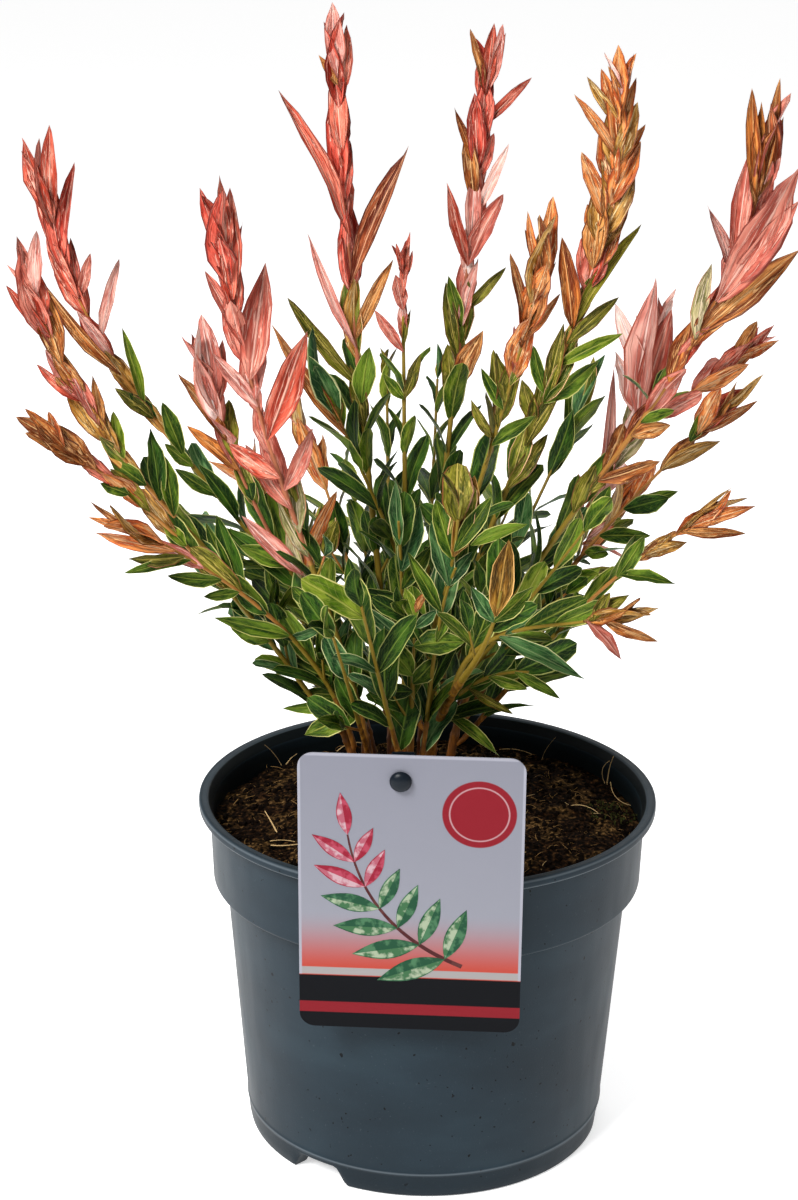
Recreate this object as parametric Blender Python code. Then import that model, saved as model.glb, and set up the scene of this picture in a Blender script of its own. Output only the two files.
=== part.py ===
"""A young flamingo dappled willow in its nursery pot, with the printed label that hangs at the front.

Metres, +Z up. The origin is the middle of the pot's underside, -Y is the side the label hangs on.
The shrub is pruned stems that stand in the compost. Each stem ends where its leader starts to bear
leaves, and side shoots leave its flank. Every leafy shoot is one solid of its own.
"""

import math
import random
from collections import namedtuple

import bmesh
import bpy
import numpy as np

# The nursery pot: a 19 cm, 3 litre container with a rolled lip, a stacking collar and a foot ring
RIM_RADIUS = 0.095
POT_HEIGHT = 0.1476
LIP_HEIGHT = 0.0045
LIP_WIDTH = 0.0038
LIP_ROUNDING = 0.0008
COLLAR_TOP_RADIUS = 0.0905
COLLAR_FOOT_RADIUS = 0.0893
COLLAR_FOOT_Z = 0.1122
BODY_TOP_RADIUS = 0.0840
BASE_RADIUS = 0.0752
BASE_ROUNDING = 0.0015
POT_WALL = 0.0014
FOOT_RING_WIDTH = 0.009
FLOOR_RISE = 0.009
FOOT_DRAFT = 0.002
LEDGE_SLOPE = 0.0004
HUB_RADIUS = 0.018
POT_SIDES = 48
NOTCH_WIDTH = 0.027
NOTCH_HEIGHT = 0.0078
NOTCH_COUNT = 3
FIRST_NOTCH_AZIMUTH = -144.0

# The compost fills the pot to just under the collar
SOIL_LEVEL = 0.1388
SOIL_EDGE_DROP = 0.0050
SOIL_FLAT_RADIUS = 0.045
SOIL_SHOULDER_DROP = 0.0018
CLEARANCE = 0.0003

# The printed label hangs on a peg that stands on a stake pushed in behind the lip
CARD_WIDTH = 0.0856
CARD_HEIGHT = 0.119
CARD_THICKNESS = 0.0006
CARD_CORNER = 0.006
CARD_CORNER_POINTS = 6
CARD_SHIFT = -0.002
CARD_TOP_Z = 0.2040
CARD_TURN = 3.1
CARD_TILT = 4.5
CARD_ROLL = 0.2
PEG_FROM_TOP = 0.0106
PEG_SIDEWAYS = -0.004
PEG_RADIUS = 0.0022
PEG_HOLE_RADIUS = 0.0027
KNOB_RADIUS = 0.0042
KNOB_HEIGHT = 0.0028
KNOB_GAP = 0.0004
PEG_SIDES = 16
STAKE_WIDTH = 0.009
STAKE_THICKNESS = 0.0018
STAKE_Y = -0.0835
STAKE_DEPTH_IN_SOIL = 0.018
STAKE_ABOVE_PEG = 0.006

# Wood and leaf
STEM_FOOT_RADIUS = 0.0029
STEM_TIP_RADIUS = 0.0020
ROOT_FLARE = 1.35
FLARE_HEIGHT = 0.006
SHOOT_FOOT_RADIUS = 0.0016
SHOOT_TIP_RADIUS = 0.0009
TWIG_RADIUS = 0.0009
FIRST_LEAF = 0.012
FIRST_TWIG_LEAF = 0.010
LEAF_GAP_FACTOR = 1.95
LEAF_SIZE_FACTOR = 1.14
LENGTH_VARIATION = 0.12
SPREAD_VARIATION = 0.2
GAP_VARIATION = 0.1
PAIR_SKEW = 0.25
TURN_VARIATION = 0.35
TIP_LEAF_SPREAD = 3.0
SECOND_TIP_LEAF = 0.85
FOLDS = (1.0, 0.66, 0.4)
TWIG_LEAF_SIZE = 0.72
TWIG_LENGTHS = (0.030, 0.045)
TWIG_SHARES = (0.18, 0.60)
TWIG_ANGLE = 37.0
TWIG_RISE = 0.7
STEM_SIDES = 8
TWIG_SIDES = 3
PATH_STEPS = 48
AXIS_STEP = 0.006
STEM_RING_STEP = 0.014
SHOOT_RING_STEP = 0.026
TWIG_RING_STEP = 0.018
SPACE_GAP = 0.0010
LIMB_GAP = 0.0008
LOWEST_LEAF_Z = 0.146
CARD_AIR = 0.008
SEED = "dappled willow"

# How a shoot bears its leaves: leaf length, gap between pairs and spread from the stem, each low down,
# below the tip and in the tip, then the shares of its length where tinting and the tip begin.
Habit = namedtuple("Habit", "leaf gap spread tint_from tip_from width twigs")
HABITS = {
    "spear": Habit((0.027, 0.034, 0.036), (0.012, 0.015, 0.013), (44, 24, 10), 0.56, 0.68, 0.27, 2),
    "winged": Habit((0.027, 0.050, 0.038), (0.012, 0.026, 0.013), (42, 30, 7), 0.55, 0.74, 0.22, 2),
    "plume": Habit((0.027, 0.034, 0.032), (0.012, 0.014, 0.013), (40, 26, 17), 0.50, 0.82, 0.25, 2),
    "sprig": Habit((0.026, 0.030, 0.030), (0.012, 0.013, 0.010), (40, 20, 14), 0.62, 0.76, 0.26, 1),
    "wisp": Habit((0.024, 0.024, 0.015), (0.018, 0.022, 0.009), (36, 26, 16), 0.58, 0.84, 0.26, 0),
    "leafy": Habit((0.027, 0.026, 0.022), (0.011, 0.011, 0.009), (48, 38, 24), 0.86, 0.90, 0.33, 1),
}

# Each pruned stem, with the leader that carries on from it. The foot is its place in the compost,
# the azimuth runs clockwise from +Y as seen from above, and leans are from the vertical:
# at the foot, at the tip, and how much more than their mean at half its length.
Stem = namedtuple("Stem", "name foot azimuth lean_foot lean_tip bow length bare habit")
STEMS = (
    Stem("left_back", (-0.021, 0.012), -80, 0, -10, 46, 0.316, 0.050, "spear"),
    Stem("left", (-0.026, 0.001), -99, 6, 1, 37, 0.280, 0.048, "spear"),
    Stem("left_front", (-0.020, -0.009), -139, 8, 0, 20, 0.291, 0.050, "spear"),
    Stem("back_left", (-0.011, 0.021), -45, 8, 2, 3, 0.327, 0.055, "winged"),
    Stem("centre", (-0.0095, 0.002), -138, 0, 2, 0, 0.241, 0.048, "wisp"),
    Stem("back", (-0.003, 0.027), 21, 5, 10, 9, 0.321, 0.048, "plume"),
    Stem("right_middle", (0.001, 0.001), 141, -9, 7, 22, 0.275, 0.048, "spear"),
    Stem("right_back", (0.002, 0.017), 79, -3, -7, 27, 0.320, 0.048, "plume"),
    Stem("right", (0.008, 0.008), 103, 0, -5, 36, 0.331, 0.050, "spear"),
    Stem("front_right", (0.000, -0.009), 163, -12, -4, 58, 0.183, 0.092, "leafy"),
    Stem("front", (-0.010, -0.012), 172, 45, 24, -27, 0.119, 0.040, "leafy"),
    Stem("far_back", (-0.015, 0.031), -3, 8, 20, 12, 0.190, 0.046, "sprig"),
)

# Each side shoot, with the stem that it leaves and how far up that stem it does so
Side = namedtuple("Side", "name stem leaves_at azimuth lean_foot lean_tip bow length habit")
SIDE_SHOOTS = (
    Side("left_low", "left", 0.040, -110, 32, 58, -5, 0.190, "sprig"),
    Side("left_lowest", "left", 0.030, -128, 17, 56, 11, 0.174, "sprig"),
    Side("left_inner", "left", 0.022, -139, -11, -1, 40, 0.102, "leafy"),
    Side("left_middle", "left_back", 0.035, -123, 19, 3, 17, 0.199, "spear"),
    Side("left_skirt", "left_back", 0.026, -64, 13, 53, 19, 0.134, "leafy"),
    Side("left_front_low", "left_front", 0.034, -169, 43, 46, -3, 0.122, "leafy"),
    Side("back_left_inner", "back_left", 0.035, -123, -22, 5, 33, 0.181, "spear"),
    Side("back_left_low", "back_left", 0.040, -31, 40, 58, -16, 0.143, "sprig"),
    Side("centre_front", "centre", 0.036, -174, 5, 40, -4, 0.128, "leafy"),
    Side("front_middle", "front", 0.030, 155, 20, 60, -25, 0.128, "leafy"),
    Side("front_left", "front", 0.036, -160, 33, 32, -4, 0.122, "leafy"),
    Side("front_right_long", "front_right", 0.080, 129, 17, 44, 41, 0.109, "sprig"),
    Side("front_right_low", "front_right", 0.030, 129, 9, 96, 7, 0.094, "leafy"),
    Side("right_middle_inner", "right_middle", 0.038, 168, 1, -16, 50, 0.151, "leafy"),
    Side("right_middle_front", "right_middle", 0.042, 136, 37, 36, 3, 0.150, "leafy"),
    Side("right_back_pale", "right_back", 0.038, 55, 29, -22, 42, 0.211, "spear"),
    Side("right_back_low", "right_back", 0.030, 58, 43, 35, 10, 0.149, "sprig"),
    Side("right_outer", "right", 0.040, 79, 28, 47, 4, 0.183, "sprig"),
    Side("right_lowest", "right", 0.030, 96, 38, 70, -11, 0.160, "sprig"),
    Side("back_upright", "back", 0.040, 4, 22, 28, 12, 0.159, "sprig"),
    Side("back_right", "back", 0.030, 46, 37, 29, 4, 0.178, "sprig"),
    Side("back_right_low", "back", 0.024, 25, 31, 52, 13, 0.146, "leafy"),
    Side("far_back_left", "far_back", 0.036, -53, 37, 48, -1, 0.133, "sprig"),
    Side("far_back_low", "far_back", 0.028, -11, 19, 54, 18, 0.144, "leafy"),
)

# A long fork that stays part of its leader, with how far up the leader it leaves
Fork = namedtuple("Fork", "leader leaves_at azimuth lean_foot lean_tip bow length habit")
FORKS = (Fork("right", 0.182, 64, 59, 47, 8, 0.076, "sprig"),)

COLOURS = {
    "pot plastic": ((0.055, 0.075, 0.090), 0.45),
    "compost": ((0.030, 0.017, 0.010), 0.95),
    "label card": ((0.62, 0.62, 0.66), 0.35),
    "bark": ((0.230, 0.085, 0.030), 0.60),
    "dappled leaf": ((0.300, 0.210, 0.100), 0.50),
}


def material(name):
    """The Principled material of one of the plant's or the pot's finishes."""
    made = bpy.data.materials.get(name)
    if made is None:
        colour, roughness = COLOURS[name]
        made = bpy.data.materials.new(name)
        made.use_nodes = True
        shader = made.node_tree.nodes["Principled BSDF"]
        shader.inputs["Base Color"].default_value = (*colour, 1.0)
        shader.inputs["Roughness"].default_value = roughness
        shader.inputs["Metallic"].default_value = 0.0
    return made


def new_object(name, points, faces, finish):
    """An object at the origin, from points in the part's frame and faces of any number of corners."""
    mesh = bpy.data.meshes.new(name)
    mesh.from_pydata([tuple(map(float, p)) for p in points], [], faces)
    mesh.validate()
    tidy = bmesh.new()
    tidy.from_mesh(mesh)
    bmesh.ops.recalc_face_normals(tidy, faces=tidy.faces)
    tidy.to_mesh(mesh)
    tidy.free()
    mesh.materials.append(material(finish))
    made = bpy.data.objects.new(name, mesh)
    bpy.context.scene.collection.objects.link(made)
    return made


def turned(name, profile, sides, finish):
    """A closed body turned about the pot's axis. The profile runs from the axis round to the axis again."""
    points, rings = [], []
    for radius, height in profile:
        if radius < 1e-6:
            rings.append([len(points)] * sides)
            points.append((0.0, 0.0, height))
            continue
        rings.append(list(range(len(points), len(points) + sides)))
        for k in range(sides):
            turn = math.tau * k / sides
            points.append((radius * math.sin(turn), radius * math.cos(turn), height))
    faces = []
    for low, high in zip(rings, rings[1:]):
        for k in range(sides):
            after = (k + 1) % sides
            corners = (low[k], low[after], high[after], high[k])
            faces.append(tuple(dict.fromkeys(corners)))
    return new_object(name, points, faces, finish)


def block(name, centre, size, finish, turn=0.0):
    """A box about its centre, turned about the vertical."""
    cosine, sine = math.cos(turn), math.sin(turn)
    points = []
    for z in (-0.5, 0.5):
        for x, y in ((-0.5, -0.5), (0.5, -0.5), (0.5, 0.5), (-0.5, 0.5)):
            across, deep = x * size[0], y * size[1]
            east = centre[0] + across * cosine - deep * sine
            north = centre[1] + across * sine + deep * cosine
            points.append((east, north, centre[2] + z * size[2]))
    faces = [(3, 2, 1, 0), (4, 5, 6, 7)]
    faces += [(k, (k + 1) % 4, (k + 1) % 4 + 4, k + 4) for k in range(4)]
    return new_object(name, points, faces, finish)


def boolean(body, operation, other, solver="EXACT"):
    """Joins to the body, or cuts from it, an object or every object of a collection, and removes them."""
    modifier = body.modifiers.new("join", "BOOLEAN")
    modifier.operation = operation
    modifier.solver = solver
    if isinstance(other, bpy.types.Collection):
        modifier.operand_type = "COLLECTION"
        modifier.collection = other
        used = list(other.objects)
    else:
        modifier.object = other
        used = [other]
    bpy.context.view_layer.update()
    evaluated = body.evaluated_get(bpy.context.evaluated_depsgraph_get())
    result = bpy.data.meshes.new_from_object(evaluated)
    body.modifiers.clear()
    body.data = result
    for piece in used:
        bpy.data.objects.remove(piece)


def keep_main_body(body):
    """Drops loose scraps and fills sealed hollows: of the closed shells, only the largest stays."""
    work = bmesh.new()
    work.from_mesh(body.data)
    unseen, shells = set(work.faces), []
    while unseen:
        shell, front = [], [unseen.pop()]
        while front:
            face = front.pop()
            shell.append(face)
            for edge in face.edges:
                for neighbour in edge.link_faces:
                    if neighbour in unseen:
                        unseen.discard(neighbour)
                        front.append(neighbour)
        shells.append(shell)
    shells.sort(key=len)
    scraps = [face for shell in shells[:-1] for face in shell]
    bmesh.ops.delete(work, geom=scraps, context="FACES")
    work.to_mesh(body.data)
    work.free()


def unit(vector):
    return vector / np.linalg.norm(vector)


class Path:
    """A limb's centre line in one upright plane, whose lean changes smoothly from foot to tip."""

    def __init__(self, foot, azimuth, lean_foot, lean_tip, bow, length):
        share = (np.arange(PATH_STEPS) + 0.5) / PATH_STEPS
        lean = np.radians(lean_foot + (lean_tip - lean_foot) * share + bow * 4 * share * (1 - share))
        heading = np.radians(azimuth)
        step = length / PATH_STEPS
        out = np.concatenate([[0], np.cumsum(np.sin(lean)) * step])
        up = np.concatenate([[0], np.cumsum(np.cos(lean)) * step])
        flat = np.array([np.sin(heading), np.cos(heading), 0.0])
        self.points = np.asarray(foot) + out[:, None] * flat + up[:, None] * np.array([0.0, 0.0, 1.0])
        self.sideways = np.array([np.cos(heading), -np.sin(heading), 0.0])
        self.facing = -flat
        self.length = length

    def at(self, distance):
        """The point that far from the foot, and the direction of growth there."""
        place = min(max(distance / self.length, 0.0), 1.0) * PATH_STEPS
        low = min(int(place), PATH_STEPS - 1)
        ahead = self.points[low + 1] - self.points[low]
        return self.points[low] + ahead * (place - low), unit(ahead)

    def line(self, start, end):
        """The centre line's points from start to end, close enough together to measure from."""
        return np.array([self.at(distance)[0] for distance in spaced(start, end, AXIS_STEP)])


def spaced(start, end, spacing):
    """Evenly spaced distances from start to end, about that far apart."""
    return np.linspace(start, end, max(2, round((end - start) / spacing) + 1))


def tube(name, path, distances, radii, sides, finish):
    """A tapering limb with flat ends and a ring at each distance, whose first corners look one way."""
    points, rings, facing = [], [], path.facing
    for distance, radius in zip(distances, radii):
        point, along = path.at(distance)
        # A stem's foot is cut level
        normal = np.array([0.0, 0.0, 1.0]) if finish == "bark" and distance == 0 else along
        facing = unit(facing - facing.dot(normal) * normal)
        across = np.cross(normal, facing)
        rings.append(range(len(points), len(points) + sides))
        for k in range(sides):
            turn = math.tau * k / sides
            offset = facing * math.cos(turn) + across * math.sin(turn)
            points.append(point + offset * radius)
    faces = [tuple(reversed(rings[0])), tuple(rings[-1])]
    for low, high in zip(rings, rings[1:]):
        faces += [(low[k], low[(k + 1) % sides], high[(k + 1) % sides], high[k]) for k in range(sides)]
    return new_object(name, points, faces, finish)


# One leaf: where it leaves the wood, the way it points, its upper side, its length and its width
Leaf = namedtuple("Leaf", "root along up length width")
# Its outline as shares of its length and of its half width, from the root to the tip
LEAF_OUTLINE = ((0.0, 0.0), (0.28, 0.92), (0.66, 0.84), (1.0, 0.0))
KEEL_PLACE = 0.42
KEEL_DEPTH = 0.11
ROOT_SINK = 0.0012
ROOT_SIDE = 0.4


def leaf_edges(leaf):
    """The leaf's outline, up its right side and down its left."""
    side = np.cross(leaf.along, leaf.up) * leaf.width / 2
    right = [leaf.root + leaf.along * leaf.length * far + side * wide for far, wide in LEAF_OUTLINE]
    left = [leaf.root + leaf.along * leaf.length * far - side * wide for far, wide in LEAF_OUTLINE[2:0:-1]]
    return right + left


def leaf_solid(name, leaf):
    """A keeled blade of ten triangles, flat above, whose root point is sunk in the wood."""
    points = leaf_edges(leaf)
    points[0] = leaf.root - leaf.along * ROOT_SINK
    keel = leaf.root + leaf.along * leaf.length * KEEL_PLACE - leaf.up * leaf.width * KEEL_DEPTH
    rim = len(points)
    faces = [tuple(range(rim))] + [((k + 1) % rim, k, rim) for k in range(rim)]
    return new_object(name, points + [keel], faces, "dappled leaf")


def segment_distance(points, starts, ends):
    """The shortest distance from each point to any of the segments."""
    ahead = ends - starts
    offset = points[:, None, :] - starts
    share = np.clip((offset * ahead).sum(-1) / (ahead * ahead).sum(-1), 0, 1)
    return np.linalg.norm(offset - share[..., None] * ahead, axis=-1).min(1)


class Crown:
    """Where every shoot and stem runs, so that each mass of foliage can keep to its own space."""

    def __init__(self):
        self.axes = {}
        self.limbs = []

    def add_axis(self, mass, points):
        self.axes.setdefault(mass, []).append(points)

    def close(self):
        """Joins each mass's axes into arrays of segments once all are in."""
        self.own = {
            mass: (np.concatenate([p[:-1] for p in parts]), np.concatenate([p[1:] for p in parts]))
            for mass, parts in self.axes.items()
        }
        names = sorted(self.own)
        self.others = {
            mass: tuple(np.concatenate([self.own[n][end] for n in names if n != mass]) for end in (0, 1))
            for mass in names
        }
        self.limb_starts = np.concatenate([p[:-1] for p in self.limbs])
        self.limb_ends = np.concatenate([p[1:] for p in self.limbs])

    def holds(self, mass, points):
        """True if these points are in the mass's own space: nearer to its wood than to any other's."""
        own = segment_distance(points, *self.own[mass])
        others = segment_distance(points, *self.others[mass])
        limb = segment_distance(points, self.limb_starts, self.limb_ends)
        clear_of_wood = (limb > STEM_FOOT_RADIUS + LIMB_GAP).all()
        clear_of_shoots = (others > SHOOT_FOOT_RADIUS + SPACE_GAP).all()
        nearer = (own + SPACE_GAP < others).all()
        above_pot = (points[:, 2] > LOWEST_LEAF_Z).all()
        return clear_of_wood and clear_of_shoots and nearer and above_pot and not behind_card(points)


def behind_card(points):
    """True if any point is in the slab of air that the label and its stake stand in."""
    across = np.abs(points[:, 0]) < CARD_WIDTH / 2 + CARD_AIR
    near = points[:, 1] < STAKE_Y + CARD_AIR
    low = points[:, 2] < CARD_TOP_Z + CARD_AIR
    return bool((across & near & low).any())


def fitted_leaf(crown, mass, path, distance, turn, spread, length, width):
    """The leaf as the rule has it, or folded closer to the stem where it would leave its space, or None."""
    point, growth = path.at(distance)
    out = path.sideways * math.cos(turn) + np.cross(growth, path.sideways) * math.sin(turn)
    for fold in FOLDS:
        angle = math.radians(spread * fold)
        along = unit(growth * math.cos(angle) + out * math.sin(angle))
        up = unit(growth - growth.dot(along) * along)
        leaf = Leaf(point + out * SHOOT_TIP_RADIUS * ROOT_SIDE, along, up, length, width)
        if crown.holds(mass, np.array(leaf_edges(leaf)[1:])):
            return leaf
    return None


def varied(rng, value, share):
    return value * rng.uniform(1 - share, 1 + share)


def zone(habit, share):
    """0 low down, 1 where the leaves are tinted, 2 in the closed tip."""
    return 0 if share < habit.tint_from else 1 if share < habit.tip_from else 2


def leaves_along(crown, mass, path, start, habit, rng, size=1.0):
    """Opposite pairs from start to the tip, each turned from the last, and two closed leaves at the tip."""
    leaves = []
    last = path.length - habit.leaf[2] * size

    def bear(distance, turn, spread, length):
        length = min(length, path.length - distance)
        found = fitted_leaf(crown, mass, path, distance, turn, spread, length, length * habit.width)
        if found:
            leaves.append(found)

    place, turn = start, rng.uniform(0, math.tau)
    while place < last:
        band = zone(habit, place / path.length)
        for half in (0, math.pi):
            length = varied(rng, habit.leaf[band] * size * LEAF_SIZE_FACTOR, LENGTH_VARIATION)
            spread = varied(rng, habit.spread[band], SPREAD_VARIATION)
            bear(place, turn + half + rng.uniform(-PAIR_SKEW, PAIR_SKEW), spread, length)
        place += varied(rng, habit.gap[band] * LEAF_GAP_FACTOR, GAP_VARIATION)
        turn += math.pi / 2 + rng.uniform(-TURN_VARIATION, TURN_VARIATION)
    bear(last, turn, TIP_LEAF_SPREAD, habit.leaf[2] * size)
    bear(last, turn + math.pi, habit.spread[2], habit.leaf[2] * size * SECOND_TIP_LEAF)
    return leaves, last


def twig_path(crown, mass, path, distance, turn, length):
    """A short side twig that bends up along its shoot, or None where it would leave the space."""
    point, along = path.at(distance)
    other = np.cross(along, path.sideways)
    out = path.sideways * math.cos(turn) + other * math.sin(turn)
    branching = math.radians(TWIG_ANGLE)
    heading = along * math.cos(branching) + out * math.sin(branching)
    lean = math.degrees(math.atan2(math.hypot(heading[0], heading[1]), heading[2]))
    azimuth = math.degrees(math.atan2(heading[0], heading[1]))
    twig = Path(point, azimuth, lean, lean * TWIG_RISE, 0, length)
    return twig if crown.holds(mass, twig.points[PATH_STEPS // 3 :]) else None


def foliage(crown, mass, runs, rng):
    """The solid of one mass: its shoot and forks, its seeded twigs and all their leaves, fused."""
    leafy = HABITS["leafy"]
    stem, others = None, bpy.data.collections.new(mass)
    bpy.context.scene.collection.children.link(others)

    def keep(made):
        bpy.context.scene.collection.objects.unlink(made)
        others.objects.link(made)

    leaves = []
    for path, start, habit in runs:
        found, last = leaves_along(crown, mass, path, start + FIRST_LEAF, habit, rng)
        leaves += found
        rings = spaced(start, last, SHOOT_RING_STEP)
        radii = np.linspace(SHOOT_FOOT_RADIUS, SHOOT_TIP_RADIUS, len(rings))
        wood = tube(mass, path, rings, radii, TWIG_SIDES, "dappled leaf")
        if stem is None:
            stem = wood
        else:
            keep(wood)
        for k in range(habit.twigs):
            low, high = TWIG_SHARES
            share = low + (high - low) * (k + rng.random()) / habit.twigs
            length = rng.uniform(*TWIG_LENGTHS)
            turn = rng.uniform(0, math.tau)
            twig = twig_path(crown, mass, path, start + (last - start) * share, turn, length)
            if twig is None:
                continue
            found, end = leaves_along(crown, mass, twig, FIRST_TWIG_LEAF, leafy, rng, TWIG_LEAF_SIZE)
            leaves += found
            rings = spaced(0, end, TWIG_RING_STEP)
            keep(tube(mass + "_twig", twig, rings, [TWIG_RADIUS] * len(rings), TWIG_SIDES, "dappled leaf"))
    for leaf in leaves:
        keep(leaf_solid(mass + "_leaf", leaf))
    boolean(stem, "UNION", others, solver="MANIFOLD")
    bpy.data.collections.remove(others)
    keep_main_body(stem)
    return len(leaves)


def stem_radius(distance, bare):
    """A pruned stem's radius that far from its foot, with the flare at its foot."""
    flare = 1 + (ROOT_FLARE - 1) * max(0.0, 1 - distance / FLARE_HEIGHT)
    return flare * (STEM_FOOT_RADIUS + (STEM_TIP_RADIUS - STEM_FOOT_RADIUS) * distance / bare)


def side_path(stem_path, bare, side):
    """A side shoot's path, which starts a hair off its stem's bark with a corner of its foot to the stem."""
    point, along = stem_path.at(side.leaves_at)
    shape = (side.azimuth, side.lean_foot, side.lean_tip, side.bow, side.length)
    _, heading = Path(point, *shape).at(0)
    out = unit(heading - heading.dot(along) * along)
    half_foot = SHOOT_FOOT_RADIUS * heading.dot(along)
    path = Path(point + out * (stem_radius(side.leaves_at, bare) + half_foot + CLEARANCE), *shape)
    path.facing = -out
    return path


def layout():
    """Where every stem and shoot runs: the crown, and each mass's runs as (path, start, habit)."""
    crown, stems, masses = Crown(), {}, {}
    bare = {stem.name: stem.bare for stem in STEMS}
    for stem in STEMS:
        foot = (*stem.foot, SOIL_LEVEL + CLEARANCE)
        path = Path(foot, stem.azimuth, stem.lean_foot, stem.lean_tip, stem.bow, stem.length)
        stems[stem.name] = path
        masses["shoot_" + stem.name] = [(path, stem.bare + CLEARANCE, HABITS[stem.habit])]
        crown.limbs.append(path.line(0, stem.bare))
    for side in SIDE_SHOOTS:
        path = side_path(stems[side.stem], bare[side.stem], side)
        masses["shoot_" + side.name] = [(path, 0, HABITS[side.habit])]
    for fork in FORKS:
        runs = masses["shoot_" + fork.leader]
        foot, _ = runs[0][0].at(fork.leaves_at)
        path = Path(foot, fork.azimuth, fork.lean_foot, fork.lean_tip, fork.bow, fork.length)
        runs.append((path, 0, HABITS[fork.habit]))
    for mass, runs in masses.items():
        for path, start, _ in runs:
            crown.add_axis(mass, path.line(start, path.length))
    crown.close()
    return crown, stems, masses


def plant():
    """Makes the stems and the masses of foliage."""
    crown, stems, masses = layout()
    for stem in STEMS:
        rings = [0, *spaced(FLARE_HEIGHT, stem.bare, STEM_RING_STEP)]
        radii = [stem_radius(distance, stem.bare) for distance in rings]
        tube("stem_" + stem.name, stems[stem.name], rings, radii, STEM_SIDES, "bark")
    total = 0
    for mass, runs in masses.items():
        total += foliage(crown, mass, runs, random.Random(SEED + mass))
    print(f"{len(STEMS)} stems, {len(masses)} masses of foliage, {total} leaves")


def pot_radius(height):
    """The pot's outer radius below and above the ledge of its collar."""
    if height <= COLLAR_FOOT_Z:
        return BASE_RADIUS + (BODY_TOP_RADIUS - BASE_RADIUS) * height / COLLAR_FOOT_Z
    share = (height - COLLAR_FOOT_Z) / (POT_HEIGHT - LIP_HEIGHT - COLLAR_FOOT_Z)
    return COLLAR_FOOT_RADIUS + (COLLAR_TOP_RADIUS - COLLAR_FOOT_RADIUS) * share


def pot_inside():
    """The inner wall's profile from the floor up to the lip's inner edge."""
    floor = FLOOR_RISE + POT_WALL
    step = COLLAR_FOOT_Z + POT_WALL
    return [
        (pot_radius(floor) - POT_WALL, floor),
        (BODY_TOP_RADIUS - POT_WALL, step),
        (COLLAR_FOOT_RADIUS - POT_WALL, step + LEDGE_SLOPE),
        (COLLAR_TOP_RADIUS - POT_WALL, POT_HEIGHT - LIP_HEIGHT),
    ]


def pot():
    """The pot, turned in one piece, with its drainage notches cut through the foot ring."""
    lip_foot = POT_HEIGHT - LIP_HEIGHT
    ring = BASE_RADIUS - BASE_ROUNDING
    ledge = COLLAR_FOOT_Z - LEDGE_SLOPE
    profile = [
        (0, 0),
        (HUB_RADIUS, 0),
        (HUB_RADIUS + FOOT_DRAFT, FLOOR_RISE),
        (ring - FOOT_RING_WIDTH, FLOOR_RISE),
        (ring - FOOT_RING_WIDTH + FOOT_DRAFT, 0),
        (ring, 0),
        (pot_radius(BASE_ROUNDING), BASE_ROUNDING),
        (BODY_TOP_RADIUS, ledge),
        (COLLAR_FOOT_RADIUS, COLLAR_FOOT_Z),
        (COLLAR_TOP_RADIUS, lip_foot),
        (RIM_RADIUS, lip_foot + LIP_ROUNDING),
        (RIM_RADIUS, POT_HEIGHT - LIP_ROUNDING),
        (RIM_RADIUS - LIP_ROUNDING, POT_HEIGHT),
        (RIM_RADIUS - LIP_WIDTH, POT_HEIGHT),
        *reversed(pot_inside()),
        (0, FLOOR_RISE + POT_WALL),
    ]
    body = turned("pot", profile, POT_SIDES, "pot plastic")
    for k in range(NOTCH_COUNT):
        turn = math.radians(FIRST_NOTCH_AZIMUTH + k * 360 / NOTCH_COUNT)
        reach = BASE_RADIUS - FOOT_RING_WIDTH / 2
        centre = (reach * math.sin(turn), reach * math.cos(turn), 0.0)
        size = (NOTCH_WIDTH, 2 * FOOT_RING_WIDTH, 2 * NOTCH_HEIGHT)
        boolean(body, "DIFFERENCE", block("notch", centre, size, "pot plastic", turn=-turn))


def soil():
    """The compost, a plug a hair clear of the pot, with a slot for the label's stake."""
    inside = [(radius - CLEARANCE, height) for radius, height in pot_inside()]
    floor = inside[0][1] + CLEARANCE
    edge = SOIL_LEVEL - SOIL_EDGE_DROP
    low, high = inside[-2], inside[-1]
    share = (edge - low[1]) / (high[1] - low[1])
    edge_radius = low[0] + (high[0] - low[0]) * share
    middle = (SOIL_FLAT_RADIUS + edge_radius) / 2
    profile = [
        (0, floor),
        (inside[0][0], floor),
        (inside[1][0], inside[1][1] + CLEARANCE),
        (inside[2][0], inside[2][1] + CLEARANCE),
        (edge_radius, edge),
        (middle, SOIL_LEVEL - SOIL_SHOULDER_DROP),
        (SOIL_FLAT_RADIUS, SOIL_LEVEL),
        (0, SOIL_LEVEL),
    ]
    body = turned("compost", profile, POT_SIDES, "compost")
    size = (STAKE_WIDTH + 2 * CLEARANCE, STAKE_THICKNESS + 2 * CLEARANCE, 2 * STAKE_DEPTH_IN_SOIL)
    slot_centre = (*stake_axis(), edge)
    boolean(body, "DIFFERENCE", block("slot", slot_centre, size, "compost"))


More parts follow.
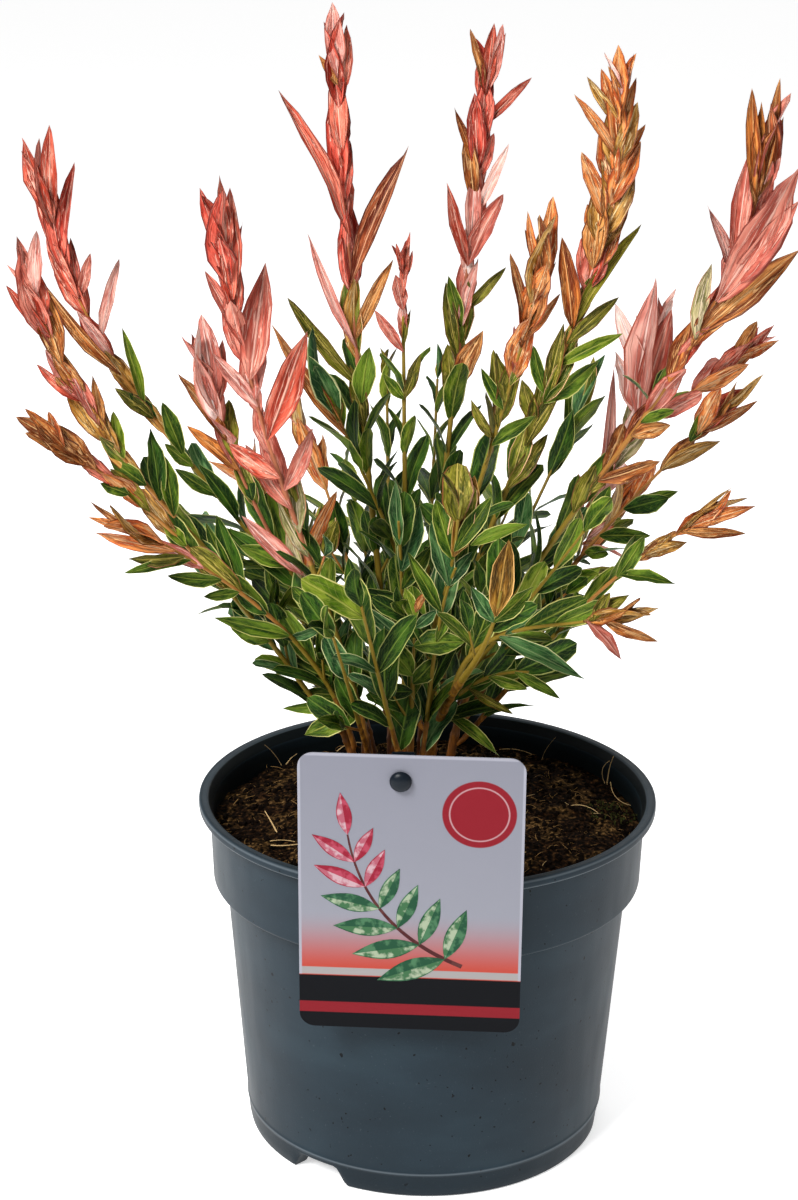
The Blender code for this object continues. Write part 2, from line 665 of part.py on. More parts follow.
def card_frame():
    """The middle of the label's top edge, and its directions across, down and out of its printed face."""
    turn, tilt, roll = (math.radians(angle) for angle in (CARD_TURN, CARD_TILT, CARD_ROLL))
    # It leans on the lip, turned a little about the vertical, with its top tipped forward
    level = np.array([math.cos(turn), -math.sin(turn), 0.0])
    forward = np.array([-math.sin(turn), -math.cos(turn), 0.0])
    below = np.array([0.0, 0.0, -1.0])
    steep = below * math.cos(tilt) - forward * math.sin(tilt)
    face = forward * math.cos(tilt) + below * math.sin(tilt)
    across = level * math.cos(roll) + steep * math.sin(roll)
    down = steep * math.cos(roll) - level * math.sin(roll)
    seat_z = POT_HEIGHT - LIP_HEIGHT + LIP_ROUNDING
    seat = forward * (RIM_RADIUS + CLEARANCE) + level * CARD_SHIFT + np.array([0.0, 0.0, seat_z])
    return seat + down * (CARD_TOP_Z - seat_z) / down[2], across, down, face


def peg_point(height):
    """A point on the peg's axis, that far in front of the card's back."""
    top, across, down, face = card_frame()
    return top + across * PEG_SIDEWAYS + down * PEG_FROM_TOP + face * height


def peg_to_stake():
    """How far in front of the card's back, and so negative, the peg meets the middle of the stake."""
    start, unit_away = peg_point(0), peg_point(1) - peg_point(0)
    return (STAKE_Y + STAKE_THICKNESS / 2 - start[1]) / unit_away[1]


def stake_axis():
    """Where the stake stands: the place in plan where the peg meets it."""
    return tuple(peg_point(peg_to_stake())[:2])


def card_outline():
    """The card's rounded outline as (across, down) pairs."""
    outline = []
    half = CARD_WIDTH / 2
    corners = (
        (half - CARD_CORNER, CARD_CORNER, -90),
        (half - CARD_CORNER, CARD_HEIGHT - CARD_CORNER, 0),
        (-half + CARD_CORNER, CARD_HEIGHT - CARD_CORNER, 90),
        (-half + CARD_CORNER, CARD_CORNER, 180),
    )
    for across, down, first in corners:
        for k in range(CARD_CORNER_POINTS):
            turn = math.radians(first + 90 * k / (CARD_CORNER_POINTS - 1))
            outline.append((across + CARD_CORNER * math.cos(turn), down + CARD_CORNER * math.sin(turn)))
    return outline


def slab(name, frame, outline, low, high, finish):
    """A flat shape between two heights over the card's back, from its outline across and down the card."""
    top, across, down, face = frame
    points = [top + across * a + down * d + face * h for h in (low, high) for a, d in outline]
    count = len(outline)
    faces = [tuple(range(count)), tuple(range(2 * count - 1, count - 1, -1))]
    faces += [(k, k + count, (k + 1) % count + count, (k + 1) % count) for k in range(count)]
    return new_object(name, points, faces, finish)


def peg_circle(radius):
    """A round outline about the peg, as (across, down) pairs."""
    turns = [math.tau * k / PEG_SIDES for k in range(PEG_SIDES)]
    return [(PEG_SIDEWAYS + radius * math.cos(t), PEG_FROM_TOP + radius * math.sin(t)) for t in turns]


def label():
    """The hanging card, then the stake with its peg and knob."""
    frame = card_frame()
    card = slab("label_card", frame, card_outline(), 0, CARD_THICKNESS, "label card")
    through = (-CARD_THICKNESS, 2 * CARD_THICKNESS)
    hole = slab("hole", frame, peg_circle(PEG_HOLE_RADIUS), *through, "label card")
    boolean(card, "DIFFERENCE", hole)

    behind = peg_to_stake()
    stake_top = peg_point(behind)[2] + STAKE_ABOVE_PEG
    stake_foot = SOIL_LEVEL - SOIL_EDGE_DROP - STAKE_DEPTH_IN_SOIL + CLEARANCE
    centre = (*stake_axis(), (stake_top + stake_foot) / 2)
    size = (STAKE_WIDTH, STAKE_THICKNESS, stake_top - stake_foot)
    stake = block("label_stake", centre, size, "pot plastic")
    pieces = bpy.data.collections.new("peg")
    bpy.context.scene.collection.children.link(pieces)
    knob_foot = CARD_THICKNESS + KNOB_GAP
    knob_top = knob_foot + KNOB_HEIGHT
    for made in (
        slab("peg", frame, peg_circle(PEG_RADIUS), behind, (knob_foot + knob_top) / 2, "pot plastic"),
        slab("knob", frame, peg_circle(KNOB_RADIUS), knob_foot, knob_top, "pot plastic"),
    ):
        bpy.context.scene.collection.objects.unlink(made)
        pieces.objects.link(made)
    boolean(stake, "UNION", pieces)
    bpy.data.collections.remove(pieces)


def main():
    for old in list(bpy.data.objects):
        bpy.data.objects.remove(old)
    pot()
    soil()
    label()
    plant()


main()
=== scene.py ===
# %% [markdown]
# A young dappled willow in its nursery pot, as a lesson in dressing a plain construction model.
# The imported model is the frame: it holds every stem, shoot, pot and label at its real place and size.
# Each cell below makes one finished piece in the same metres and the same coordinates, so nothing
# has to be fitted afterwards. The plain model's parts are kept, hidden.

# %% Load the frame
import math
import random
from collections import namedtuple

import bmesh
import bpy
import numpy as np
from mathutils import Matrix, Vector, noise


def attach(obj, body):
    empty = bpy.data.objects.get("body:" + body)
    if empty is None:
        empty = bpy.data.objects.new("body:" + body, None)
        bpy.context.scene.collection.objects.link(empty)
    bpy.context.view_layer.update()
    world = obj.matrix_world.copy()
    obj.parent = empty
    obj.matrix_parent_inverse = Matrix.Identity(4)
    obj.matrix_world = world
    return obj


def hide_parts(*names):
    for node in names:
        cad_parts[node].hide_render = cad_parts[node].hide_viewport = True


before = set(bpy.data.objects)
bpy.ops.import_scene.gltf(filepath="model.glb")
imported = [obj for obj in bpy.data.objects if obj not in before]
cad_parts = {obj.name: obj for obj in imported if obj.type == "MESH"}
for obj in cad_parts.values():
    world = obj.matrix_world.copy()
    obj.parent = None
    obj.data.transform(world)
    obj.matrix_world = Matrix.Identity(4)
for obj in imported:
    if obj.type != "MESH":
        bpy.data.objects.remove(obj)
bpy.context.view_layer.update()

scene = bpy.context.scene
NODES = sorted(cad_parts)

# %% [markdown]
# The photograph looks slightly down on the plant with a long lens, and is turned a hair clockwise.
# The camera stands where the photographer did. Its height, distance and tilt were solved from the
# pot: the lip, the foot and the ledge are circles of known size, so their ellipses give the view.

# %% Place the camera
CAMERA_PLACE = (-0.0124, -0.9583, 0.5529)
CAMERA_PITCH = math.radians(18.55)
CAMERA_ROLL = math.radians(0.44)
FOCAL_LENGTH = 74.64
SENSOR_WIDTH = 36.0


def linked(name, data):
    """A new object at the origin that shows this data."""
    made = bpy.data.objects.new(name, data)
    scene.collection.objects.link(made)
    return made


camera = linked("camera", bpy.data.cameras.new("camera"))
camera.data.lens = FOCAL_LENGTH
camera.data.sensor_width = SENSOR_WIDTH
camera.data.clip_start = 0.01
camera.matrix_world = (
    Matrix.Translation(CAMERA_PLACE)
    @ Matrix.Rotation(math.pi / 2 - CAMERA_PITCH, 4, "X")
    @ Matrix.Rotation(CAMERA_ROLL, 4, "Z")
)
scene.camera = camera
print("camera at", *CAMERA_PLACE)

# %% [markdown]
# Materials are node trees, and a tree is easier to read in a script when each node takes one call.
# The helper adds a node, sets its options and then sets or links its inputs. It serves shader trees
# and Geometry Nodes trees alike. Colours are written as the usual hex codes, which are display
# values, so they are turned into the linear values that a shader works in.


# %% Helpers for node trees and colours
def add(tree, kind, inputs=(), **settings):
    """Adds a node, sets its options, and sets or links each input by its name or number."""
    node = tree.nodes.new(kind)
    for option, value in settings.items():
        setattr(node, option, value)
    for key, value in dict(inputs).items():
        if isinstance(value, bpy.types.NodeSocket):
            tree.links.new(value, node.inputs[key])
        else:
            node.inputs[key].default_value = value
    return node


def linear(code):
    """The scene-linear colour, with its alpha, of a hex code."""
    shares = [int(code[k : k + 2], 16) / 255 for k in (0, 2, 4)]
    return (*[s / 12.92 if s <= 0.04045 else ((s + 0.055) / 1.055) ** 2.4 for s in shares], 1.0)


def finish(name, code, roughness, shine=0.5, **sockets):
    """A new material with its shader's plain values set: the material, its tree and its shader."""
    made = bpy.data.materials.new(name)
    made.use_nodes = True
    shader = made.node_tree.nodes["Principled BSDF"]
    shader.inputs["Base Color"].default_value = linear(code)
    shader.inputs["Roughness"].default_value = roughness
    shader.inputs["Specular IOR Level"].default_value = shine
    for key, value in sockets.items():
        shader.inputs[key.replace("_", " ")].default_value = value
    return made, made.node_tree, shader


def object_noise(tree, scale, detail=3.0, stretch=(1, 1, 1)):
    """Noise on the object's own coordinates, stretched along its axes. It gives values from 0 to 1."""
    place = add(tree, "ShaderNodeTexCoord")
    spaced_out = add(tree, "ShaderNodeMapping", {"Vector": place.outputs["Object"], "Scale": stretch})
    grain = {"Vector": spaced_out.outputs[0], "Scale": scale, "Detail": detail}
    return add(tree, "ShaderNodeTexNoise", grain).outputs[0]


def ramp(tree, value, *stops):
    """A colour ramp over a value, from (position, hex code) stops."""
    node = add(tree, "ShaderNodeValToRGB", {0: value})
    elements = node.color_ramp.elements
    while len(elements) < len(stops):
        elements.new(0.5)
    for element, (position, code) in zip(elements, stops):
        element.position = position
        element.color = linear(code)
    return node.outputs[0]


def mixed(tree, share, first, second):
    """One colour laid over another by a share from 0 to 1. Colours are sockets or hex codes."""
    under, over = (linear(c) if isinstance(c, str) else c for c in (first, second))
    return add(tree, "ShaderNodeMix", {0: share, 6: under, 7: over}, data_type="RGBA").outputs[2]


def maths(tree, operation, first, second=0.0):
    """One arithmetic step on two values."""
    return add(tree, "ShaderNodeMath", {0: first, 1: second}, operation=operation).outputs[0]


def product(tree, first, second):
    return maths(tree, "MULTIPLY", first, second)


def distance_from(tree, value, middle):
    return maths(tree, "ABSOLUTE", maths(tree, "SUBTRACT", value, middle))


def scaled(tree, vector, factors):
    """A vector with each of its values multiplied by a factor of its own."""
    return add(tree, "ShaderNodeVectorMath", {0: vector, 1: factors}, operation="MULTIPLY").outputs[0]


def ranged(tree, value, low, high, start=0.0, end=1.0, **settings):
    """A value taken from one range to another, and held inside it."""
    limits = {0: value, 1: low, 2: high, 3: start, 4: end}
    return add(tree, "ShaderNodeMapRange", limits, **settings).outputs[0]


def between(tree, value, low, high, soft):
    """1 where a value lies between two limits and 0 elsewhere, with edges that are this soft."""
    rises = ranged(tree, value, low - soft, low + soft)
    return product(tree, rises, ranged(tree, value, high + soft, high - soft))


def paint(tree, shader, colour):
    tree.links.new(colour, shader.inputs["Base Color"])


def relief(tree, shader, height, depth):
    """Bump from a height value, that many metres deep."""
    bump = add(tree, "ShaderNodeBump", {"Height": height, "Distance": depth, "Strength": 1.0})
    tree.links.new(bump.outputs[0], shader.inputs["Normal"])


print("one yellow-green in linear light:", [round(c, 3) for c in linear("A8923C")[:3]])

# %% [markdown]
# The picture is a studio shot on white: light comes from everywhere, with a broad soft source high on
# the left that draws a pale band down the pot. A pale floor runs far past the view, the world gives
# the even light, and three area lights give it direction. Area lights are the simplest soft lights.

# %% Floor and light
FLOOR_REACH = 30.0
FLOOR_DROP = 0.0002
FLOOR_GLOW = 0.55
WORLD_STRENGTH = 0.43
LIT_POINT = Vector((0, 0, 0.2))

scene.view_settings.view_transform = "Standard"
scene.world = bpy.data.worlds.new("studio")
scene.world.use_nodes = True
backdrop = scene.world.node_tree.nodes["Background"]
backdrop.inputs["Color"].default_value = (1.0, 1.0, 1.0, 1.0)
backdrop.inputs["Strength"].default_value = WORLD_STRENGTH

square = ((-1, -1), (1, -1), (1, 1), (-1, 1))
corners = [(x * FLOOR_REACH, y * FLOOR_REACH, -FLOOR_DROP) for x, y in square]
floor_mesh = bpy.data.meshes.new("floor")
floor_mesh.from_pydata(corners, [], [(0, 1, 2, 3)])
floor = linked("floor", floor_mesh)
glow = {"Emission_Color": linear("FFFFFF"), "Emission_Strength": FLOOR_GLOW}
floor_finish, tree, shader = finish("studio floor", "FBFBFB", 0.9, **glow)
paint(tree, shader, ramp(tree, object_noise(tree, 700.0), (0.3, "F8F8F8"), (0.7, "FDFDFD")))
floor_mesh.materials.append(floor_finish)

# Where each light stands, how wide it is and how strong
for label, place, width, power in (
    ("key light", (-0.9, -1.1, 1.5), 0.7, 48.0),
    ("fill light", (1.3, -0.9, 0.9), 1.0, 0.3),
    ("back light", (0.2, 1.2, 1.3), 1.2, 8.0),
):
    lamp = linked(label, bpy.data.lights.new(label, "AREA"))
    lamp.data.size = width
    lamp.data.energy = power
    lamp.location = place
    lamp.rotation_euler = (LIT_POINT - Vector(place)).to_track_quat("-Z", "Y").to_euler()
print("three lights and a floor of", 2 * FLOOR_REACH, "m")

# %% [markdown]
# More helpers make objects, from points and faces or from a bmesh. Another lets a Geometry Nodes
# tree grow a piece from a source object and keeps the result as a plain mesh, because instances and
# live modifiers would be lost when the model is exported. The tree's inputs are set by their
# identifiers, since two sockets may share a name.


# %% Helpers for objects and Geometry Nodes
def new_object(name, points, faces, finishes=(), edges=(), smooth=True):
    """A linked mesh object at the origin, whose place is in its points."""
    mesh = bpy.data.meshes.new(name)
    mesh.from_pydata([tuple(map(float, p)) for p in points], list(edges), list(faces))
    if smooth:
        mesh.shade_smooth()
    for made in finishes:
        mesh.materials.append(made)
    return linked(name, mesh)


def made_of(name, work, finishes=()):
    """A linked mesh object made of a bmesh, which is freed."""
    mesh = bpy.data.meshes.new(name)
    work.to_mesh(mesh)
    work.free()
    for made in finishes:
        mesh.materials.append(made)
    return linked(name, mesh)


def ring_points(radius, sides):
    """Places in plan round a circle, clockwise from +Y."""
    turns = [math.tau * k / sides for k in range(sides)]
    return [(radius * math.sin(turn), radius * math.cos(turn)) for turn in turns]


def ring_faces(low, high, sides):
    """The faces between two rings of points, given by the number of each ring's first point."""
    nexts = [(k + 1) % sides for k in range(sides)]
    return [(low + k, low + after, high + after, high + k) for k, after in enumerate(nexts)]


def closed_up(piece, angle=35.0):
    """Turns a closed piece's faces outwards and shades it smooth except over sharp edges."""
    work = bmesh.new()
    work.from_mesh(piece.data)
    bmesh.ops.recalc_face_normals(work, faces=work.faces)
    work.to_mesh(piece.data)
    work.free()
    piece.data.set_sharp_from_angle(angle=math.radians(angle))
    return piece


def give(mesh, label, kind, values):
    """A named value for each point of a mesh, for a tree to read."""
    layer = mesh.attributes.new(label, kind, "POINT")
    layer.data.foreach_set("vector" if kind == "FLOAT_VECTOR" else "value", np.ravel(values))


def new_tree(name, **sockets):
    """A Geometry Nodes tree with a geometry in and out, and named inputs given with their kinds."""
    tree = bpy.data.node_groups.new(name, "GeometryNodeTree")
    tree.interface.new_socket("Geometry", in_out="INPUT", socket_type="NodeSocketGeometry")
    for label, kind in sockets.items():
        tree.interface.new_socket(label.replace("_", " "), in_out="INPUT", socket_type="NodeSocket" + kind)
    tree.interface.new_socket("Geometry", in_out="OUTPUT", socket_type="NodeSocketGeometry")
    return tree, tree.nodes.new("NodeGroupInput").outputs


def deliver(tree, geometry):
    """Links the last geometry to the tree's output."""
    add(tree, "NodeGroupOutput", {0: geometry})


def stored(tree, label, kind):
    """Reads a value that a mesh stores under a name."""
    return add(tree, "GeometryNodeInputNamedAttribute", {"Name": label}, data_type=kind).outputs[0]


def instanced(tree, points, collection, inputs):
    """One of a collection's shapes on every point, turned and scaled by the inputs and made real."""
    whole = {"Collection": collection, "Separate Children": True, "Reset Children": True}
    shapes = add(tree, "GeometryNodeCollectionInfo", whole).outputs[0]
    placing = {"Points": points, "Instance": shapes, "Pick Instance": True, **inputs}
    placed = add(tree, "GeometryNodeInstanceOnPoints", placing).outputs[0]
    return add(tree, "GeometryNodeRealizeInstances", {0: placed}).outputs[0]


def grow(name, source, tree, **values):
    """What the tree makes of the source object, as a plain mesh object of its own."""
    modifier = source.modifiers.new(tree.name, "NODES")
    modifier.node_group = tree
    for item in tree.interface.items_tree:
        key = item.name.replace(" ", "_")
        if item.in_out == "INPUT" and key in values:
            modifier[item.identifier] = values[key]
    bpy.context.view_layer.update()
    evaluated = source.evaluated_get(bpy.context.evaluated_depsgraph_get())
    mesh = bpy.data.meshes.new_from_object(evaluated)
    mesh.name = name
    source.modifiers.remove(modifier)
    return linked(name, mesh)


def hand_in(piece, slot, *nodes):
    """Tells the frame which body a piece rides on and the nodes it stands for; the material slot is not used.
    """
    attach(piece, "root")
    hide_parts(*nodes)
    triangles = sum(len(face.vertices) - 2 for face in piece.data.polygons)
    print(f"{piece.name}: {triangles} triangles, stands for {len(nodes)} nodes")


print("helpers ready")

# %% [markdown]
# The pot is injection-moulded polypropylene: a rolled lip, a stacking collar with a ledge under it, a
# tapered body, and a foot ring with drainage notches. A turned profile makes it in one skin. The
# notches could be cut with a Boolean, but that leaves long thin faces, so the foot ring is lifted
# where a notch is instead: every column of points knows how high its foot stands. Specks and dust
# are colour by the place on the pot, and so is painted light: pale lines along the edges are painted
# highlight with a little wear, and a darker band at the foot, a dark ring standing for a groove in
# the lip and the darkened inner wall are painted shade.

# %% Mould the pot
RIM_RADIUS = 0.095
POT_HEIGHT = 0.1476
LIP_HEIGHT = 0.0045
LIP_WIDTH = 0.0038
COLLAR_TOP_RADIUS = 0.0905
COLLAR_FOOT_RADIUS = 0.0893
COLLAR_FOOT_Z = 0.1122
BODY_TOP_RADIUS = 0.0840
BASE_RADIUS = 0.0752
POT_WALL = 0.0014
FOOT_RING_WIDTH = 0.009
FLOOR_RISE = 0.009
HUB_RADIUS = 0.018
FOOT_DRAFT = 0.002
EDGE_ROUNDING = 0.0012
# The bead over the foot: heights, and how far it stands out there
FOOT_BEAD = ((0.0098, 0.0), (0.0104, 0.0003), (0.0116, 0.0003), (0.0124, 0.0))
NOTCH_HALF_WIDTH = 0.0135
NOTCH_HEIGHT = 0.0078
NOTCH_END = 0.0045
NOTCH_COUNT = 3
FIRST_NOTCH = math.radians(-144.0)
POT_SIDES = 288


def rounded(profile, radius, steps=4):
    """The profile with an arc of about that radius in place of each corner but the first and last."""
    smooth = [profile[0]]
    for before, corner, after in zip(profile, profile[1:], profile[2:]):
        before, corner, after = (np.array(point, float) for point in (before, corner, after))
        reach = [min(radius, np.linalg.norm(end - corner) * 0.45) for end in (before, after)]
        start, stop = (
            corner + (end - corner) / np.linalg.norm(end - corner) * back
            for end, back in zip((before, after), reach)
        )
        for k in range(steps + 1):
            t = k / steps
            smooth.append(tuple(start * (1 - t) ** 2 + corner * 2 * t * (1 - t) + stop * t * t))
    return smooth + [profile[-1]]


def pot_radius(height):
    """The pot's outer radius below and above the ledge of its collar."""
    if height <= COLLAR_FOOT_Z:
        return BASE_RADIUS + (BODY_TOP_RADIUS - BASE_RADIUS) * height / COLLAR_FOOT_Z
    share = (height - COLLAR_FOOT_Z) / (POT_HEIGHT - LIP_HEIGHT - COLLAR_FOOT_Z)
    return COLLAR_FOOT_RADIUS + (COLLAR_TOP_RADIUS - COLLAR_FOOT_RADIUS) * share


def notch_lift(turn):
    """How high the foot ring is lifted at this azimuth: the notch's height, with sloped ends."""
    apart = min(
        abs((turn - FIRST_NOTCH - k * math.tau / NOTCH_COUNT + math.pi) % math.tau - math.pi)
        for k in range(NOTCH_COUNT)
    )
    inside = (NOTCH_HALF_WIDTH - apart * BASE_RADIUS) / NOTCH_END
    return NOTCH_HEIGHT * min(1.0, max(0.0, inside))


def turned(name, profile, sides, finishes, lift=None, lifted_to=0.0):
    """A closed skin turned about the upright axis. Points under lifted_to are raised by lift(azimuth)."""
    points, rings = [], []
    for radius, height in profile:
        if radius < 1e-6:
            rings.append([len(points)] * sides)
            points.append((0.0, 0.0, height))
            continue
        rings.append(list(range(len(points), len(points) + sides)))
        for k in range(sides):
            turn = math.tau * k / sides
            raised = height
            if lift and radius > HUB_RADIUS * 2 and height < lifted_to:
                raised = height + lift(turn) * (1 - height / lifted_to)
            points.append((radius * math.sin(turn), radius * math.cos(turn), raised))
    faces = []
    for low, high in zip(rings, rings[1:]):
        for k in range(sides):
            after = (k + 1) % sides
            faces.append(tuple(dict.fromkeys((low[k], low[after], high[after], high[k]))))
    return closed_up(new_object(name, points, faces, finishes))


def pot_profile():
    """From the middle of the underside, out and up round the lip, and down the inside to the floor."""
    ring = BASE_RADIUS - EDGE_ROUNDING * 0.4
    lip_foot = POT_HEIGHT - LIP_HEIGHT
    floor = FLOOR_RISE + POT_WALL
    outside = [
        (0, 0),
        (HUB_RADIUS, 0),
        (HUB_RADIUS + FOOT_DRAFT, FLOOR_RISE),
        (ring - FOOT_RING_WIDTH, FLOOR_RISE),
        (ring - FOOT_RING_WIDTH + FOOT_DRAFT, 0),
        (ring, 0),
        (pot_radius(0.004), 0.004),
        *[(pot_radius(level) + proud, level) for level, proud in FOOT_BEAD],
        (BODY_TOP_RADIUS, COLLAR_FOOT_Z - 0.0004),
        (COLLAR_FOOT_RADIUS, COLLAR_FOOT_Z),
        (COLLAR_TOP_RADIUS, lip_foot),
        (RIM_RADIUS, lip_foot + 0.0006),
        (RIM_RADIUS, POT_HEIGHT),
        (RIM_RADIUS - LIP_WIDTH, POT_HEIGHT),
    ]
    inside = [
        (COLLAR_TOP_RADIUS - POT_WALL, lip_foot),
        (COLLAR_FOOT_RADIUS - POT_WALL, COLLAR_FOOT_Z + POT_WALL + 0.0004),
        (BODY_TOP_RADIUS - POT_WALL, COLLAR_FOOT_Z + POT_WALL),
        (pot_radius(floor) - POT_WALL, floor),
        (0, floor),
    ]
    return rounded(outside + inside, EDGE_ROUNDING)


pot_finish, tree, shader = finish("pot plastic", "1F2A31", 0.46, 0.10)
# Uneven body colour, then dark specks, pale edge lines (painted highlight with a little wear),
# painted shade at the foot and in a groove line on the lip, dust, and the inner wall's painted shade
cloud = object_noise(tree, 14.0, 4.0, stretch=(1, 1, 2.2))
body_colour = ramp(tree, cloud, (0.30, "1A242B"), (0.55, "1F2B33"), (0.75, "25333B"))
dusty = ramp(tree, object_noise(tree, 900.0, 2.0), (0.68, "000000"), (0.76, "404040"))
place = add(tree, "ShaderNodeTexCoord").outputs["Object"]
height = add(tree, "ShaderNodeSeparateXYZ", {0: place}).outputs[2]
flat = scaled(tree, place, (1.0, 1.0, 0.0))
radius = add(tree, "ShaderNodeVectorMath", {0: flat}, operation="LENGTH").outputs["Value"]
specks = ramp(tree, object_noise(tree, 420.0, 1.0), (0.735, "000000"), (0.76, "FFFFFF"))
specks_wear_and_painted_light = mixed(tree, add(tree, "ShaderNodeRGBToBW", {0: specks}).outputs[0], body_colour, "06090C")
# Pale lines along the rounded edges: painted highlight, with a little wear
for edge in (0.0110, COLLAR_FOOT_Z - 0.0003, POT_HEIGHT - LIP_HEIGHT + 0.0008, POT_HEIGHT - 0.0008):
    share = product(tree, between(tree, height, edge - 0.0003, edge + 0.0003, 0.0004), 0.20)
    specks_wear_and_painted_light = mixed(tree, share, specks_wear_and_painted_light, "A9B4BC")
# A darker band round the foot: painted shade
painted_foot_shade = between(tree, height, -0.01, 0.0102, 0.0006)
specks_wear_and_painted_light = mixed(tree, product(tree, painted_foot_shade, 0.45), specks_wear_and_painted_light, "11181D")
# A thin dark ring on top of the lip stands for a groove: painted shade
painted_groove_shade = between(tree, radius, RIM_RADIUS - 0.0014, RIM_RADIUS - 0.0011, 0.0002)
on_top = between(tree, height, POT_HEIGHT - 0.0006, POT_HEIGHT + 0.001, 0.0002)
specks_wear_and_painted_light = mixed(tree, product(tree, product(tree, painted_groove_shade, on_top), 0.6), specks_wear_and_painted_light, "0A1014")
dusted = mixed(tree, add(tree, "ShaderNodeRGBToBW", {0: dusty}).outputs[0], specks_wear_and_painted_light, "8B969E")
# The inner wall above the peat and under the lip is darkened: painted shade
inside = between(tree, radius, 0.0, COLLAR_TOP_RADIUS - POT_WALL, 0.0002)
over_peat = between(tree, height, COLLAR_FOOT_Z + POT_WALL, POT_HEIGHT, 0.0002)
under_lip = between(tree, radius, 0.0, RIM_RADIUS - LIP_WIDTH - 0.0001, 0.0002)
on_slope = between(tree, height, POT_HEIGHT - LIP_HEIGHT + 0.0001, POT_HEIGHT - 0.0002, 0.0002)
painted_inner_shade = maths(tree, "MAXIMUM", product(tree, inside, over_peat), product(tree, under_lip, on_slope))
paint(tree, shader, mixed(tree, painted_inner_shade, dusted, "0D1315"))
scuffs = object_noise(tree, 120.0, 5.0, stretch=(1, 1, 0.25))
tree.links.new(ranged(tree, scuffs, 0.0, 1.0, 0.34, 0.52), shader.inputs["Roughness"])
relief(tree, shader, object_noise(tree, 1500.0, 2.0), 0.00003)

pot = turned("nursery_pot", pot_profile(), POT_SIDES, [pot_finish], notch_lift, FLOOR_RISE)
hand_in(pot, "pot_plastic", "pot")

# %% [markdown]
# The compost is dark peat, watered and settled a little towards the wall. Its top is a fine round
# grid pushed up and down by noise, closed below by the same plug as in the model. Real peat is also
# crumbs, fibres, bits of straw and moss. Those are too many to place by hand, so Geometry Nodes
# scatter a few small shapes over the top, each turned and scaled at random from a fixed seed.

# %% Fill in the compost
SOIL_LEVEL = 0.1388
SOIL_EDGE_DROP = 0.0050
SOIL_RINGS = 56
SOIL_SIDES = 192
SOIL_RELIEF = 0.0034
SOIL_RADIUS = pot_radius(SOIL_LEVEL) - POT_WALL - 0.0002
PLUG_GAP = 0.0003


def soil_height(x, y):
    """The top of the compost at this place in plan: a low dome, with clods and pits."""
    out = math.hypot(x, y) / SOIL_RADIUS
    dome = SOIL_LEVEL - SOIL_EDGE_DROP * out**3
    clods = noise.fractal(Vector((x, y, 0.0)) * 110.0, 0.7, 2.0, 4)
    mounds = noise.noise(Vector((x, y, 3.0)) * 36.0)
    return dome + SOIL_RELIEF * (0.45 * clods + 0.6 * mounds)


points, faces = [(0, 0, soil_height(0, 0))], []
for ring in range(1, SOIL_RINGS + 1):
    around = ring_points(SOIL_RADIUS * ring / SOIL_RINGS, SOIL_SIDES)
    points += [(x, y, soil_height(x, y)) for x, y in around]
plug = [
    (COLLAR_FOOT_RADIUS - POT_WALL - PLUG_GAP, COLLAR_FOOT_Z + POT_WALL + 0.0008),
    (BODY_TOP_RADIUS - POT_WALL - PLUG_GAP, COLLAR_FOOT_Z + POT_WALL),
    (pot_radius(FLOOR_RISE) - POT_WALL - PLUG_GAP, FLOOR_RISE + POT_WALL + PLUG_GAP),
]
for radius, level in plug:
    points += [(x, y, level) for x, y in ring_points(radius, SOIL_SIDES)]
points.append((0, 0, plug[-1][1]))
for k in range(SOIL_SIDES):
    after = (k + 1) % SOIL_SIDES
    faces.append((0, 1 + after, 1 + k))
    for ring in range(SOIL_RINGS - 1 + len(plug)):
        low, high = 1 + ring * SOIL_SIDES, 1 + (ring + 1) * SOIL_SIDES
        faces.append((low + k, low + after, high + after, high + k))
    last = 1 + (SOIL_RINGS - 1 + len(plug)) * SOIL_SIDES
    faces.append((last + k, last + after, len(points) - 1))

peat, tree, shader = finish("peat", "2A1A10", 0.95, 0.03)
grains = object_noise(tree, 620.0, 6.0)
dark_peat = ramp(tree, grains, (0.38, "030201"), (0.50, "120A05"), (0.62, "2C1B0D"), (0.74, "5A3E22"))
pale_peat = ramp(tree, grains, (0.36, "080502"), (0.48, "33240F"), (0.60, "624829"), (0.72, "A07F50"))
clumps = ranged(tree, object_noise(tree, 75.0, 4.0), 0.50, 0.68)
paint(tree, shader, mixed(tree, clumps, dark_peat, pale_peat))
relief(tree, shader, grains, 0.0016)
compost = closed_up(new_object("peat_top", points, faces, [peat]), 70)
hand_in(compost, "compost", "compost")
print("peat surface of", SOIL_RINGS * SOIL_SIDES, "faces")

# %% [markdown]
# One tree scatters everything that lies on the peat. It spreads points on the source surface, puts
# one of a collection's shapes on each, turns and sizes it at random and makes the result real. The
# source is a disc that follows the peat's own height, so that nothing floats or sinks out of sight.
# There are three such discs: one nearly to the wall, one for the straws, and one where moss grows.

